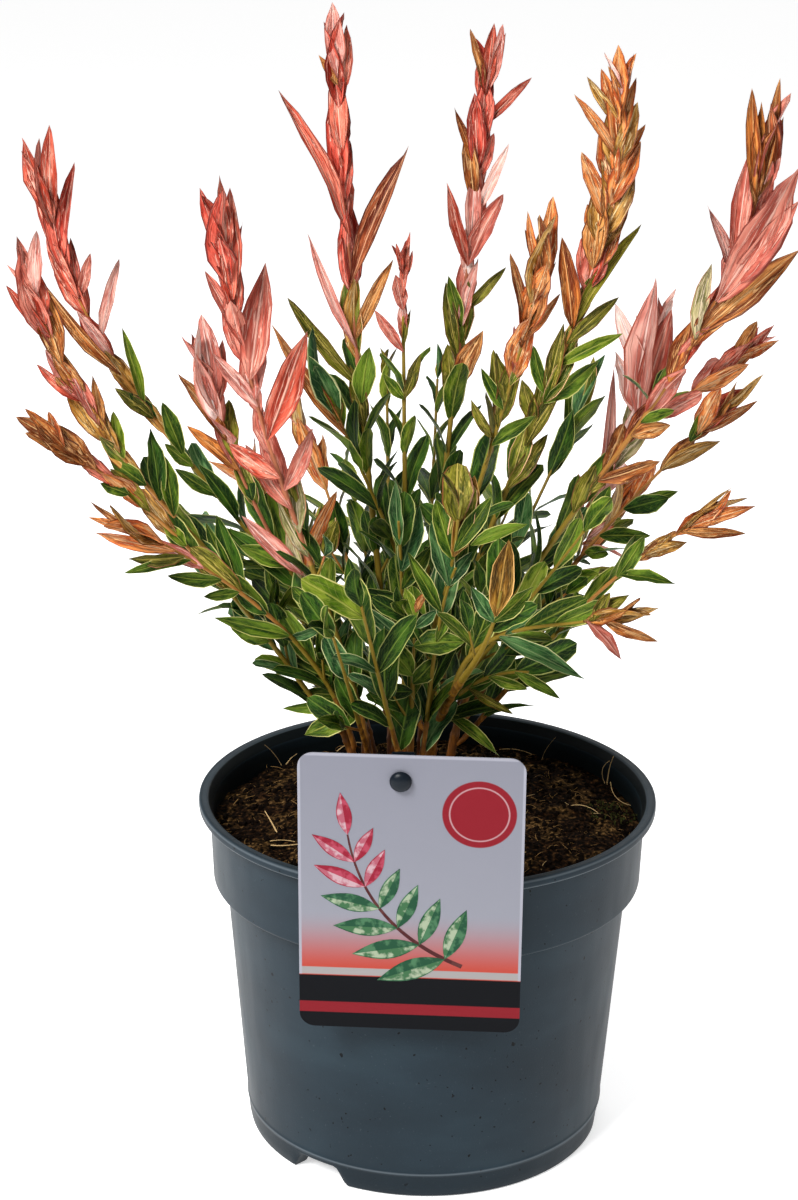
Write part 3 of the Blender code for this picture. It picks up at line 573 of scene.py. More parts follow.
# %% Scatter crumbs, fibres and moss
SCATTER_SEED = 7
scatter, given = new_tree(
    "scatter on the peat",
    Shapes="Collection",
    Density="Float",
    Smallest="Float",
    Largest="Float",
    Tilt="Float",
    Seed="Int",
    Finish="Material",
)
seed = given["Seed"]
spread = {"Mesh": given["Geometry"], "Density": given["Density"], "Seed": seed}
spots = add(scatter, "GeometryNodeDistributePointsOnFaces", spread).outputs[0]
size_range = {2: given["Smallest"], 3: given["Largest"], "Seed": seed}
sizes = add(scatter, "FunctionNodeRandomValue", size_range, data_type="FLOAT").outputs[1]
lean = add(scatter, "ShaderNodeCombineXYZ", {0: given["Tilt"], 1: given["Tilt"], 2: math.pi}).outputs[0]
back = add(scatter, "ShaderNodeVectorMath", {0: lean, "Scale": -1.0}, operation="SCALE").outputs[0]
turn_range = {0: back, 1: lean, "Seed": seed}
turns = add(scatter, "FunctionNodeRandomValue", turn_range, data_type="FLOAT_VECTOR").outputs[0]
turning = add(scatter, "FunctionNodeEulerToRotation", {0: turns}).outputs[0]
real = instanced(scatter, spots, given["Shapes"], {"Rotation": turning, "Scale": sizes})
deliver(scatter, add(scatter, "GeometryNodeSetMaterial", {0: real, 2: given["Finish"]}).outputs[0])


def shape_collection(name, shapes_made):
    """Puts shapes of size one in a collection that is not shown itself."""
    kept = bpy.data.collections.new(name)
    for shape in shapes_made:
        scene.collection.objects.unlink(shape)
        kept.objects.link(shape)
    return kept


def crumb(name, rng):
    """A lump of peat of twenty faces, one across."""
    work = bmesh.new()
    bmesh.ops.create_icosphere(work, subdivisions=1, radius=0.5)
    for corner in work.verts:
        corner.co *= rng.uniform(0.6, 1.15)
        corner.co.z *= 0.7
    return made_of(name, work)


def fibre(name, rng, steps=9, thickness=0.016, curl=0.6):
    """A bent straw of three sides, one long, that lies along X."""
    points, bend, rise = [], rng.uniform(-curl, curl), rng.uniform(0.0, 0.10 + 0.3 * curl)
    for k in range(steps + 1):
        t = k / steps - 0.5
        thick = thickness * (1.15 - abs(t))
        for corner in range(3):
            turn = math.tau * corner / 3
            y = bend * (t * t - 0.25) + thick * math.cos(turn)
            points.append((t, y, rise * (0.25 - t * t) * 2 + thick * (1 + math.sin(turn))))
    faces = [(2, 1, 0), tuple(3 * steps + k for k in range(3))]
    for k in range(steps):
        faces += ring_faces(3 * k, 3 * k + 3, 3)
    return new_object(name, points, faces)


def moss_sprig(name, rng, blades=6):
    """A tuft of pointed blades, one high."""
    points, faces = [], []
    for _ in range(blades):
        turn, lean_out = rng.uniform(0, math.tau), rng.uniform(0.2, 0.7)
        out = Vector((math.cos(turn), math.sin(turn), 0.0))
        side = Vector((-out.y, out.x, 0.0)) * 0.09
        start = len(points)
        middle = out * lean_out * 0.4 + Vector((0, 0, 0.55))
        points += [-side * 0.5, side * 0.5, middle + side, middle - side, out * lean_out + Vector((0, 0, 1))]
        faces += [(start, start + 1, start + 2, start + 3), (start + 3, start + 2, start + 4)]
    return new_object(name, points, faces)


rng = random.Random("peat")
crumbs = shape_collection("crumb shapes", [crumb(f"crumb_{k}", rng) for k in range(5)])
fibres = shape_collection("fibre shapes", [fibre(f"fibre_{k}", rng) for k in range(6)])
curled = [fibre(f"curl_{k}", rng, thickness=0.020, curl=0.9) for k in range(6)]
curls = shape_collection("curl shapes", curled)
sprigs = shape_collection("moss shapes", [moss_sprig(f"sprig_{k}", rng) for k in range(4)])

DISC_RINGS = 40
DISC_SIDES = 120
DISC_RISE = 0.0002


def peat_disc(name, centre, reach):
    """A disc that follows the peat, as the source of a scatter."""
    points, faces = [], []
    for ring in range(DISC_RINGS + 1):
        for across, ahead in ring_points(reach * ring / DISC_RINGS, DISC_SIDES):
            x, y = centre[0] + across, centre[1] + ahead
            points.append((x, y, soil_height(x, y) + DISC_RISE))
    for ring in range(1, DISC_RINGS):
        for k in range(DISC_SIDES):
            after = (k + 1) % DISC_SIDES
            low, high = ring * DISC_SIDES, (ring + 1) * DISC_SIDES
            faces.append((low + k, high + k, high + after, low + after))
    return new_object(name, points, faces)


everywhere = peat_disc("scatter_disc", (0, 0), SOIL_RADIUS - 0.0015)
off_the_wall = peat_disc("straw_disc", (0, 0), SOIL_RADIUS - 0.016)
mossy_place = peat_disc("moss_disc", (0.077, 0.004), 0.011)

for label, ground, shapes_used, density, smallest, largest, tilt, code in (
    ("dark_crumbs", everywhere, crumbs, 70000, 0.0007, 0.0034, 3.0, "0C0603"),
    ("brown_crumbs", everywhere, crumbs, 36000, 0.0006, 0.0034, 3.0, "3A2313"),
    ("pale_crumbs", everywhere, crumbs, 13000, 0.0005, 0.0019, 3.0, "A07E4E"),
    ("straw", off_the_wall, fibres, 1700, 0.006, 0.020, 0.40, "BFA070"),
    ("root_fibres", everywhere, curls, 16000, 0.002, 0.007, 0.7, "8A6A40"),
    ("moss", mossy_place, sprigs, 260000, 0.0006, 0.0022, 0.9, "36391A"),
):
    laid, tree, shader = finish(label.replace("_", " "), code, 0.92, 0.05)
    relief(tree, shader, object_noise(tree, 1400.0), 0.0004)
    dealt_by = {"Shapes": shapes_used, "Density": float(density), "Seed": SCATTER_SEED, "Finish": laid}
    piece = grow(label, ground, scatter, Smallest=smallest, Largest=largest, Tilt=tilt, **dealt_by)
    hand_in(piece, "compost", "compost")
for disc in (everywhere, off_the_wall, mossy_place):
    bpy.data.objects.remove(disc)

# %% [markdown]
# The label is a stiff printed card that hangs by a hole on a peg and leans on the pot's lip. Its
# frame is worked out from that lean, as in the model. The card is an outline cut from the sheet; the
# printed grounds are one material that reads the card's own map, and the drawn leaves are inks laid
# on as thin films, each in its own outline. The picture on it is a plain botanical sprig. A pale line
# runs round the print, but the dark bands at its foot reach the card's edges.

# %% Cut the card
CARD_WIDTH = 0.0856
CARD_HEIGHT = 0.119
CARD_THICKNESS = 0.0006
CARD_CORNER = 0.006
CARD_SHIFT = -0.002
CARD_TOP_Z = 0.2040
CARD_TURN = math.radians(3.1)
CARD_TILT = math.radians(4.5)
CARD_ROLL = math.radians(0.2)
SEAT_GAP = 0.0003
SEAT_RISE = 0.0008
PEG_FROM_TOP = 0.0106
PEG_SIDEWAYS = -0.004
PEG_HOLE_RADIUS = 0.0027
PEG_RADIUS = 0.0022
KNOB_RADIUS = 0.0042
KNOB_HEIGHT = 0.0028
KNOB_GAP = 0.0004
KNOB_EDGE = 0.0003
STAKE_WIDTH = 0.009
STAKE_THICKNESS = 0.0018
STAKE_Y = -0.0835
STAKE_DEPTH_IN_SOIL = 0.018
STAKE_ABOVE_PEG = 0.0035


def card_frame():
    """The middle of the card's top edge, and its directions across, down and out of its printed face."""
    level = np.array([math.cos(CARD_TURN), -math.sin(CARD_TURN), 0.0])
    forward = np.array([-math.sin(CARD_TURN), -math.cos(CARD_TURN), 0.0])
    below = np.array([0.0, 0.0, -1.0])
    steep = below * math.cos(CARD_TILT) - forward * math.sin(CARD_TILT)
    face = forward * math.cos(CARD_TILT) + below * math.sin(CARD_TILT)
    across = level * math.cos(CARD_ROLL) + steep * math.sin(CARD_ROLL)
    down = steep * math.cos(CARD_ROLL) - level * math.sin(CARD_ROLL)
    seat_z = POT_HEIGHT - LIP_HEIGHT + SEAT_RISE
    seat = forward * (RIM_RADIUS + SEAT_GAP) + level * CARD_SHIFT + np.array([0.0, 0.0, seat_z])
    return seat + down * (CARD_TOP_Z - seat_z) / down[2], across, down, face


CARD = card_frame()


def on_card(across, down, height):
    """A point on the card: across from its middle, down from its top edge, and out from its back."""
    top, sideways, downwards, outwards = CARD
    return top + sideways * across + downwards * down + outwards * height


def arc(centre, radius, start, end, steps):
    """Points along part of a circle, with its angles in degrees."""
    turns = [math.radians(start + (end - start) * k / steps) for k in range(steps + 1)]
    return [(centre[0] + radius * math.cos(t), centre[1] + radius * math.sin(t)) for t in turns]


card_outline = []
for hand, low, start in ((1, False, -90), (1, True, 0), (-1, True, 90), (-1, False, 180)):
    middle_down = CARD_HEIGHT - CARD_CORNER if low else CARD_CORNER
    middle = (hand * (CARD_WIDTH / 2 - CARD_CORNER), middle_down)
    card_outline += arc(middle, CARD_CORNER, start, start + 90, 10)


def film(name, outline, low, high, finishes):
    """A flat shape on the card between two heights over its back."""
    points = [on_card(a, d, h) for h in (low, high) for a, d in outline]
    count = len(outline)
    faces = [tuple(range(count)), tuple(range(2 * count - 1, count - 1, -1))]
    faces += [(k, k + count, (k + 1) % count + count, (k + 1) % count) for k in range(count)]
    return closed_up(new_object(name, points, faces, finishes))


def punched(name, outline, hole, low, high, finishes):
    """A flat shape with a round hole, joined by a ring of faces from the hole to the outline."""
    edge = []
    for a, d in hole:
        out = np.array([a - PEG_SIDEWAYS, d - PEG_FROM_TOP])
        angles = [math.atan2(y - PEG_FROM_TOP, x - PEG_SIDEWAYS) for x, y in outline]
        target = math.atan2(out[1], out[0])
        gaps = [abs((angle - target + math.pi) % math.tau - math.pi) for angle in angles]
        edge.append(gaps.index(min(gaps)))
    work = bmesh.new()
    for height in (low, high):
        rim = [work.verts.new(on_card(a, d, height)) for a, d in outline]
        lip = [work.verts.new(on_card(a, d, height)) for a, d in hole]
        for k in range(len(hole)):
            after = (k + 1) % len(hole)
            steps = (edge[after] - edge[k]) % len(outline)
            fan = [rim[(edge[k] + j) % len(outline)] for j in range(steps + 1)]
            work.faces.new(list(dict.fromkeys([lip[k], *fan, lip[after]])))
    work.verts.ensure_lookup_table()
    count, inner = len(outline), len(hole)
    for first, total in ((0, count), (count, inner)):
        for k in range(total):
            a, b = first + k, first + (k + 1) % total
            work.faces.new([work.verts[i] for i in (a, b, b + count + inner, a + count + inner)])
    return closed_up(made_of(name, work, finishes))


card_print, tree, shader = finish("printed card", "777780", 0.42, 0.07)
layout_map = add(tree, "ShaderNodeUVMap", uv_map="card")
split = add(tree, "ShaderNodeSeparateXYZ", {0: layout_map.outputs[0]})
u, v = split.outputs[0], split.outputs[1]
paper = ramp(tree, v, (0.0, "74757F"), (0.6, "7E7F88"))
sunset = ranged(tree, v, 0.56, 0.80, interpolation_type="SMOOTHSTEP")
inked = mixed(tree, sunset, paper, "A03A2C")
disc_middle = {0: layout_map.outputs[0], 1: (0.80, 0.20, 0.0)}
off_middle = add(tree, "ShaderNodeVectorMath", disc_middle, operation="SUBTRACT").outputs[0]
oval = scaled(tree, off_middle, (0.72, 1.0, 0.0))
away = add(tree, "ShaderNodeVectorMath", {0: oval}, operation="LENGTH").outputs["Value"]
# Three bands down the card, then the red disc with its ring: from, to, softness and colour
for place, low, high, soft, code in (
    (v, 0.805, 1.2, 0.0015, "07080C"),
    (v, 0.775, 0.802, 0.0015, "8A8685"),
    (v, 0.905, 0.945, 0.0015, "721820"),
    (away, -1.0, 0.118, 0.0015, "741620"),
    (away, 0.092, 0.097, 0.001, "9C7478"),
):
    inked = mixed(tree, between(tree, place, low, high, soft), inked, code)
framed = product(tree, between(tree, u, 0.012, 0.988, 0.002), between(tree, v, 0.009, 1.2, 0.002))
framed = maths(tree, "MAXIMUM", framed, between(tree, v, 0.803, 1.2, 0.0015))
paint(tree, shader, mixed(tree, framed, "8E8E98", inked))
relief(tree, shader, object_noise(tree, 900.0, 2.0), 0.00001)

hole = arc((PEG_SIDEWAYS, PEG_FROM_TOP), PEG_HOLE_RADIUS, 0, 345, 23)
card = punched("label_sheet", card_outline, hole, 0.0, CARD_THICKNESS, [card_print])
uv_layer = card.data.uv_layers.new(name="card")
top, across, down, _ = CARD
for corner in card.data.loops:
    place = np.array(card.data.vertices[corner.vertex_index].co) - top
    uv_layer.data[corner.index].uv = (place.dot(across) / CARD_WIDTH + 0.5, place.dot(down) / CARD_HEIGHT)
hand_in(card, "card", "label_card")

# %% [markdown]
# The sprig on the card is drawn as an illustrator would cut it from coloured paper: one curved
# stalk, lens-shaped leaves in pairs along it that shrink towards the tip, green below and pink
# above, and a pale half on each leaf to show its rib. A loop sets the pairs out along the stalk. On
# the inner side of its bend the leaves are shorter and swing further out, so that they stay apart.

# %% Draw the sprig
INK = 0.00006
# How many inks thick the first pair stands, and each pair more, so that no two films share a level
FIRST_LEVEL = 1.5
LEVEL_STEP = 0.3
SPRIG_PAIRS = 6
FIRST_PAIR = 0.6
SPRIG_FOOT = (0.020, 0.090)
SPRIG_TIP = (-0.024, 0.034)
SPRIG_BEND = 0.010
SPRIG_LEAF = 0.029
SPRIG_SHRINKS = 0.011
INNER_SIZE = 0.84
# How far a leaf swings from the stalk on either side, at its foot and at its tip
INNER_SWING = (88, 34)
OUTER_SWING = (50, 36)
# The width of a leaf, and the length and width of its pale half, as shares of its length
LENS_WIDTH = 0.32
PALE_LENGTH = 0.97
PALE_WIDTH = 0.28
PINK_FROM = 0.55
STALK_STEPS = 24
STALK_RADIUS = 0.0009


def sprig_point(share):
    """A place on the stalk and its direction, from the foot at 0 to the tip at 1."""
    foot, tip = np.array(SPRIG_FOOT), np.array(SPRIG_TIP)
    ahead = tip - foot
    side = np.array([ahead[1], -ahead[0]]) / np.linalg.norm(ahead)
    slope = ahead + side * SPRIG_BEND * 4 * (1 - 2 * share)
    return foot + ahead * share + side * SPRIG_BEND * 4 * share * (1 - share), slope / np.linalg.norm(slope)


def lens(root, heading, length, width, half_only=False, steps=10):
    """A pointed leaf's outline, or only the half of it on one side of its rib."""
    side = np.array([heading[1], -heading[0]])
    shares = [k / steps for k in range(steps + 1)]
    bulge = [width / 2 * math.sin(math.pi * share**0.9) for share in shares]
    right = [root + heading * length * share + side * wide for share, wide in zip(shares, bulge)]
    if half_only:
        return right
    left = [root + heading * length * share - side * wide for share, wide in zip(shares, bulge)]
    return right + left[-2:0:-1]


inks = {}
for label, code, spots in (
    ("green ink", "16402A", "3C6446"),
    ("pale green ink", "335A3A", "8A967E"),
    ("pink ink", "7C1428", "96384A"),
    ("pale pink ink", "944C5A", "A88A90"),
    ("brown ink", "40181A", "4E2826"),
):
    inks[label], tree, shader = finish(label, code, 0.45, 0.12)
    paint(tree, shader, ramp(tree, object_noise(tree, 260.0, 3.0), (0.46, code), (0.58, spots)))
right, left = [], []
for k in range(STALK_STEPS + 1):
    point, heading = sprig_point(k / STALK_STEPS)
    aside = np.array([heading[1], -heading[0]]) * STALK_RADIUS * (1 - 0.6 * k / STALK_STEPS)
    right.append(point + aside)
    left.append(point - aside)
stalk = right + left[::-1]
drawn = [film("sprig_stalk", stalk, CARD_THICKNESS, CARD_THICKNESS + INK, [inks["brown ink"]])]
for pair in range(SPRIG_PAIRS + 1):
    share = (pair + FIRST_PAIR) / (SPRIG_PAIRS + FIRST_PAIR)
    root, heading = sprig_point(min(share, 1.0))
    size = SPRIG_LEAF - SPRIG_SHRINKS * share
    ink = "green ink" if share < PINK_FROM else "pink ink"
    for hand in (1, -1) if pair < SPRIG_PAIRS else (0,):
        inner = hand == 1
        at_foot, at_tip = INNER_SWING if inner else OUTER_SWING
        swing = math.radians(at_foot + (at_tip - at_foot) * share) * hand
        length = size * (INNER_SIZE if inner else 1.0)
        turn = np.array([[math.cos(swing), -math.sin(swing)], [math.sin(swing), math.cos(swing)]])
        aim = turn @ heading
        level = CARD_THICKNESS + INK * (FIRST_LEVEL + LEVEL_STEP * pair)
        blade = lens(root, aim, length, length * LENS_WIDTH)
        drawn.append(film("sprig_leaf", blade, CARD_THICKNESS, level, [inks[ink]]))
        shade = lens(root, aim, length * PALE_LENGTH, length * PALE_WIDTH, half_only=True)
        drawn.append(film("sprig_half", shade, CARD_THICKNESS, level + INK / 2, [inks["pale " + ink]]))


def joined(name, parts):
    """One object made of several."""
    with bpy.context.temp_override(active_object=parts[0], selected_editable_objects=parts):
        bpy.ops.object.join()
    parts[0].name = name
    return parts[0]


hand_in(joined("label_print", drawn), "card", "label_card")

# %% [markdown]
# The card hangs on a peg with a domed knob, moulded in one with the stake that is pushed into the
# compost behind the lip. A revolved outline gives the peg and knob, and a bevelled bar the stake.

# %% Push in the stake
PEG_SIDES = 32
peg_start, peg_ahead = (on_card(PEG_SIDEWAYS, PEG_FROM_TOP, h) for h in (0, 1))
behind = (STAKE_Y + STAKE_THICKNESS / 2 - peg_start[1]) / (peg_ahead - peg_start)[1]
stake_place = on_card(PEG_SIDEWAYS, PEG_FROM_TOP, behind)
knob_foot = CARD_THICKNESS + KNOB_GAP
knob_profile = [
    (behind, 0.0),
    (behind, PEG_RADIUS),
    (knob_foot, PEG_RADIUS),
    (knob_foot, KNOB_RADIUS - KNOB_EDGE),
    (knob_foot + KNOB_EDGE, KNOB_RADIUS),
]
for k in range(1, 9):
    t = math.pi / 2 * k / 8
    dome_height = knob_foot + KNOB_EDGE + (KNOB_HEIGHT - KNOB_EDGE) * math.sin(t)
    knob_profile.append((dome_height, KNOB_RADIUS * math.cos(t)))
points, faces = [], []
for height, radius in knob_profile:
    for down, across in ring_points(max(radius, 1e-5), PEG_SIDES):
        points.append(on_card(PEG_SIDEWAYS + across, PEG_FROM_TOP + down, height))
for ring in range(len(knob_profile) - 1):
    faces += ring_faces(ring * PEG_SIDES, (ring + 1) * PEG_SIDES, PEG_SIDES)
faces += [tuple(range(PEG_SIDES))[::-1], tuple(range(ring * PEG_SIDES + PEG_SIDES, len(points)))]

dark_plastic, tree, shader = finish("peg plastic", "0A121A", 0.34, 0.16)
relief(tree, shader, object_noise(tree, 1200.0, 2.0), 0.00002)
peg = closed_up(new_object("peg", points, faces, [dark_plastic]))

stake_top = stake_place[2] + STAKE_ABOVE_PEG
stake_foot = SOIL_LEVEL - SOIL_EDGE_DROP - STAKE_DEPTH_IN_SOIL + SEAT_GAP
work = bmesh.new()
bmesh.ops.create_cube(work, size=1.0)
for corner in work.verts:
    corner.co.x = stake_place[0] + corner.co.x * STAKE_WIDTH
    corner.co.y = stake_place[1] + corner.co.y * STAKE_THICKNESS
    corner.co.z = (stake_top + stake_foot) / 2 + corner.co.z * (stake_top - stake_foot)
bmesh.ops.bevel(work, geom=work.edges[:], offset=0.0004, segments=2, affect="EDGES")
stake = made_of("stake", work, [dark_plastic])
hand_in(joined("stake_and_peg", [closed_up(stake), peg]), "peg_plastic", "label_stake")

# %% [markdown]
# The shrub is grown by the same rule as the plain model, in the same reach, with about twice the
# leaves and more of the finer twigs. A pruned stem stands in the compost and its leader carries on
# from its tip. Side shoots leave its flank, and their wood starts inside the stem, as a branch does.
# All of them follow a smooth path in one upright plane. The tables say where each one starts, how it
# leans and how long it is, as on the plain model.

# %% Set out the stems and shoots
STEM_FOOT_RADIUS = 0.0029
STEM_TIP_RADIUS = 0.0020
ROOT_FLARE = 1.35
FLARE_HEIGHT = 0.006
SHOOT_FOOT_RADIUS = 0.0016
SHOOT_TIP_RADIUS = 0.0007
PATH_STEPS = 48
AXIS_STEP = 0.006
SOCKET_DEPTH = 0.004

# How a shoot bears its leaves: leaf length, gap between pairs and spread from the stem, each low
# down, below the tip and in the tip, then the shares of its length where tinting and the tip begin,
# the width of a leaf for its length, and how many side twigs it has
Habit = namedtuple("Habit", "leaf gap spread tint_from tip_from width twigs")
HABITS = {
    "spear": Habit((0.026, 0.038, 0.042), (0.0165, 0.020, 0.019), (27, 16, 7), 0.56, 0.68, 0.27, 1),
    "winged": Habit((0.026, 0.050, 0.042), (0.0165, 0.026, 0.019), (26, 24, 5), 0.55, 0.74, 0.23, 1),
    "plume": Habit((0.026, 0.036, 0.034), (0.0165, 0.016, 0.013), (26, 18, 12), 0.50, 0.82, 0.26, 1),
    "sprig": Habit((0.025, 0.032, 0.034), (0.0165, 0.017, 0.015), (28, 17, 9), 0.62, 0.76, 0.27, 1),
    "wisp": Habit((0.024, 0.024, 0.017), (0.018, 0.022, 0.011), (25, 22, 14), 0.58, 0.84, 0.26, 0),
    "leafy": Habit((0.024, 0.025, 0.024), (0.0155, 0.014, 0.012), (36, 30, 20), 0.86, 0.90, 0.33, 1),
}

# The foot is a place in the compost, the azimuth runs clockwise from +Y as seen from above, and
# leans are from the vertical: at the foot, at the tip, and more than their mean at half its length.
# For the shoots in view, these were fitted through the camera to lines marked one by one, and rounded
Stem = namedtuple("Stem", "name foot azimuth lean_foot lean_tip bow length bare habit")
STEMS = (
    Stem("left_back", (-0.021, 0.012), -80, 0, -10, 46, 0.316, 0.050, "spear"),
    Stem("left", (-0.026, 0.001), -99, 6, 1, 37, 0.280, 0.048, "spear"),
    Stem("left_front", (-0.020, -0.009), -139, 8, 0, 20, 0.291, 0.050, "spear"),
    Stem("back_left", (-0.011, 0.021), -45, 8, 2, 3, 0.327, 0.055, "winged"),
    Stem("centre", (-0.0095, 0.002), -138, 0, 2, 0, 0.241, 0.048, "wisp"),
    Stem("back", (-0.003, 0.027), 21, 5, 10, 9, 0.321, 0.048, "plume"),
    Stem("right_middle", (0.001, 0.001), 141, -9, 7, 22, 0.275, 0.048, "spear"),
    Stem("right_back", (0.002, 0.017), 79, -3, -7, 27, 0.320, 0.048, "plume"),
    Stem("right", (0.008, 0.008), 103, 0, -5, 36, 0.331, 0.050, "spear"),
    Stem("front_right", (0.000, -0.009), 163, -12, -4, 58, 0.183, 0.092, "leafy"),
    Stem("front", (-0.010, -0.012), 172, 45, 24, -27, 0.119, 0.040, "leafy"),
    Stem("far_back", (-0.015, 0.031), -3, 8, 20, 12, 0.190, 0.046, "wisp"),
)

# Each side shoot, with the stem that it leaves and how far up that stem it does so
Side = namedtuple("Side", "name stem leaves_at azimuth lean_foot lean_tip bow length habit")
SIDE_SHOOTS = (
    Side("left_low", "left", 0.040, -110, 32, 58, -5, 0.190, "sprig"),
    Side("left_lowest", "left", 0.030, -128, 17, 56, 11, 0.174, "sprig"),
    Side("left_inner", "left", 0.022, -139, -11, -1, 40, 0.102, "leafy"),
    Side("left_middle", "left_back", 0.035, -123, 19, 3, 17, 0.199, "spear"),
    Side("left_skirt", "left_back", 0.026, -64, 13, 53, 19, 0.134, "leafy"),
    Side("left_front_low", "left_front", 0.034, -169, 43, 46, -3, 0.122, "leafy"),
    Side("back_left_inner", "back_left", 0.035, -123, -22, 5, 33, 0.181, "spear"),
    Side("back_left_low", "back_left", 0.040, -31, 40, 58, -16, 0.143, "sprig"),
    Side("centre_front", "centre", 0.036, -174, 5, 40, -4, 0.128, "leafy"),
    Side("front_middle", "front", 0.030, 155, 20, 60, -25, 0.128, "leafy"),
    Side("front_left", "front", 0.036, -160, 33, 32, -4, 0.122, "leafy"),
    Side("front_right_long", "front_right", 0.080, 129, 17, 44, 41, 0.109, "sprig"),
    Side("front_right_low", "front_right", 0.030, 129, 9, 96, 7, 0.094, "leafy"),
    Side("right_middle_inner", "right_middle", 0.038, 168, 1, -16, 50, 0.151, "leafy"),
    Side("right_middle_front", "right_middle", 0.042, 136, 37, 36, 3, 0.150, "leafy"),
    Side("right_back_pale", "right_back", 0.038, 55, 29, -22, 42, 0.211, "spear"),
    Side("right_back_low", "right_back", 0.030, 58, 43, 35, 10, 0.149, "sprig"),
    Side("right_outer", "right", 0.040, 79, 28, 47, 4, 0.183, "sprig"),
    Side("right_lowest", "right", 0.030, 96, 38, 70, -11, 0.160, "sprig"),
    Side("back_upright", "back", 0.040, 4, 22, 28, 12, 0.159, "wisp"),
    Side("back_right", "back", 0.030, 46, 37, 29, 4, 0.178, "sprig"),
    Side("back_right_low", "back", 0.024, 25, 31, 52, 13, 0.146, "leafy"),
    Side("far_back_left", "far_back", 0.036, -53, 37, 48, -1, 0.133, "sprig"),
    Side("far_back_low", "far_back", 0.028, -11, 19, 54, 18, 0.144, "leafy"),
)
Fork = namedtuple("Fork", "leader leaves_at azimuth lean_foot lean_tip bow length habit")
FORKS = (Fork("right", 0.182, 64, 59, 47, 8, 0.076, "sprig"),)


def unit(vector):
    return vector / np.linalg.norm(vector)


def swung(vector, axis, angle):
    """A vector turned about an axis that it is square to."""
    return vector * math.cos(angle) + np.cross(axis, vector) * math.sin(angle)


class Path:
    """A limb's centre line in one upright plane, whose lean changes smoothly from foot to tip."""

    def __init__(self, foot, azimuth, lean_foot, lean_tip, bow, length):
        share = (np.arange(PATH_STEPS) + 0.5) / PATH_STEPS
        lean = np.radians(lean_foot + (lean_tip - lean_foot) * share + bow * 4 * share * (1 - share))
        heading = np.radians(azimuth)
        out = np.concatenate([[0], np.cumsum(np.sin(lean)) * length / PATH_STEPS])
        up = np.concatenate([[0], np.cumsum(np.cos(lean)) * length / PATH_STEPS])
        flat = np.array([np.sin(heading), np.cos(heading), 0.0])
        self.points = np.asarray(foot) + out[:, None] * flat + up[:, None] * np.array([0.0, 0.0, 1.0])
        self.sideways = np.array([np.cos(heading), -np.sin(heading), 0.0])
        self.length = length

    def at(self, distance):
        """The point that far from the foot, and the direction of growth there."""
        place = min(max(distance / self.length, 0.0), 1.0) * PATH_STEPS
        low = min(int(place), PATH_STEPS - 1)
        ahead = self.points[low + 1] - self.points[low]
        return self.points[low] + ahead * (place - low), unit(ahead)

    def line(self, start, end, step=AXIS_STEP):
        """The centre line's points from start to end, about that far apart."""
        count = max(2, round((end - start) / step) + 1)
        return np.array([self.at(distance)[0] for distance in np.linspace(start, end, count)])


def limb_path(foot, limb):
    """The path of a stem, side shoot or fork from this foot."""
    return Path(foot, limb.azimuth, limb.lean_foot, limb.lean_tip, limb.bow, limb.length)


def stem_radius(distance, bare):
    """A pruned stem's radius that far from its foot, with the flare at its foot."""
    flare = 1 + (ROOT_FLARE - 1) * max(0.0, 1 - distance / FLARE_HEIGHT)
    return flare * (STEM_FOOT_RADIUS + (STEM_TIP_RADIUS - STEM_FOOT_RADIUS) * distance / bare)


stems, runs, limbs, sockets = {}, {}, [], {}
bare = {stem.name: stem.bare for stem in STEMS}
for stem in STEMS:
    path = limb_path((*stem.foot, SOIL_LEVEL), stem)
    stems[stem.name] = path
    runs["shoot_" + stem.name] = [(path, stem.bare, HABITS[stem.habit])]
    limbs.append(path.line(0, stem.bare))
for side in SIDE_SHOOTS:
    point, along = stems[side.stem].at(side.leaves_at)
    heading = limb_path(point, side).at(0)[1]
    out = unit(heading - heading.dot(along) * along)
    reach = stem_radius(side.leaves_at, bare[side.stem]) + SHOOT_FOOT_RADIUS * heading.dot(along)
    runs["shoot_" + side.name] = [(limb_path(point + out * reach, side), 0, HABITS[side.habit])]
    sockets["shoot_" + side.name] = stems[side.stem].at(side.leaves_at - SOCKET_DEPTH)[0]
fork_starts = {}
for fork in FORKS:
    leader = runs["shoot_" + fork.leader]
    fork_starts["shoot_" + fork.leader] = fork.leaves_at / leader[0][0].length
    foot = leader[0][0].at(fork.leaves_at)[0]
    leader.append((limb_path(foot, fork), 0, HABITS[fork.habit]))
limb_starts = np.concatenate([line[:-1] for line in limbs])
limb_ends = np.concatenate([line[1:] for line in limbs])
print(len(STEMS), "stems and", len(runs), "leafy shoots set out")

# %% [markdown]
# Leaves stand in opposite pairs, each pair turned from the last, wide apart low down and closed
# round the tip. A leaf that would pass through a stem, reach into the pot or lie where the label
# stands is folded closer to its shoot, and left off if that isn't enough. Short side twigs bear
# smaller leaves. Every choice comes from a seeded generator, so the shrub is the same each time.
#
# A rule alone gives any willow, not this one. Some leaves stand out on the shoots that face the
# viewer, and a table sets each of those. Most had their ends marked in the photograph, turned
# into shares, angles and millimetres through the camera, and rounded. There the rule's upper leaves
# are pressed to the shoot, and the front one of each open pair is left off. Leaves that point
# straight at the viewer are left off in the front half as well, and so are such tip leaves over a
# face, as they would hide what it shows.

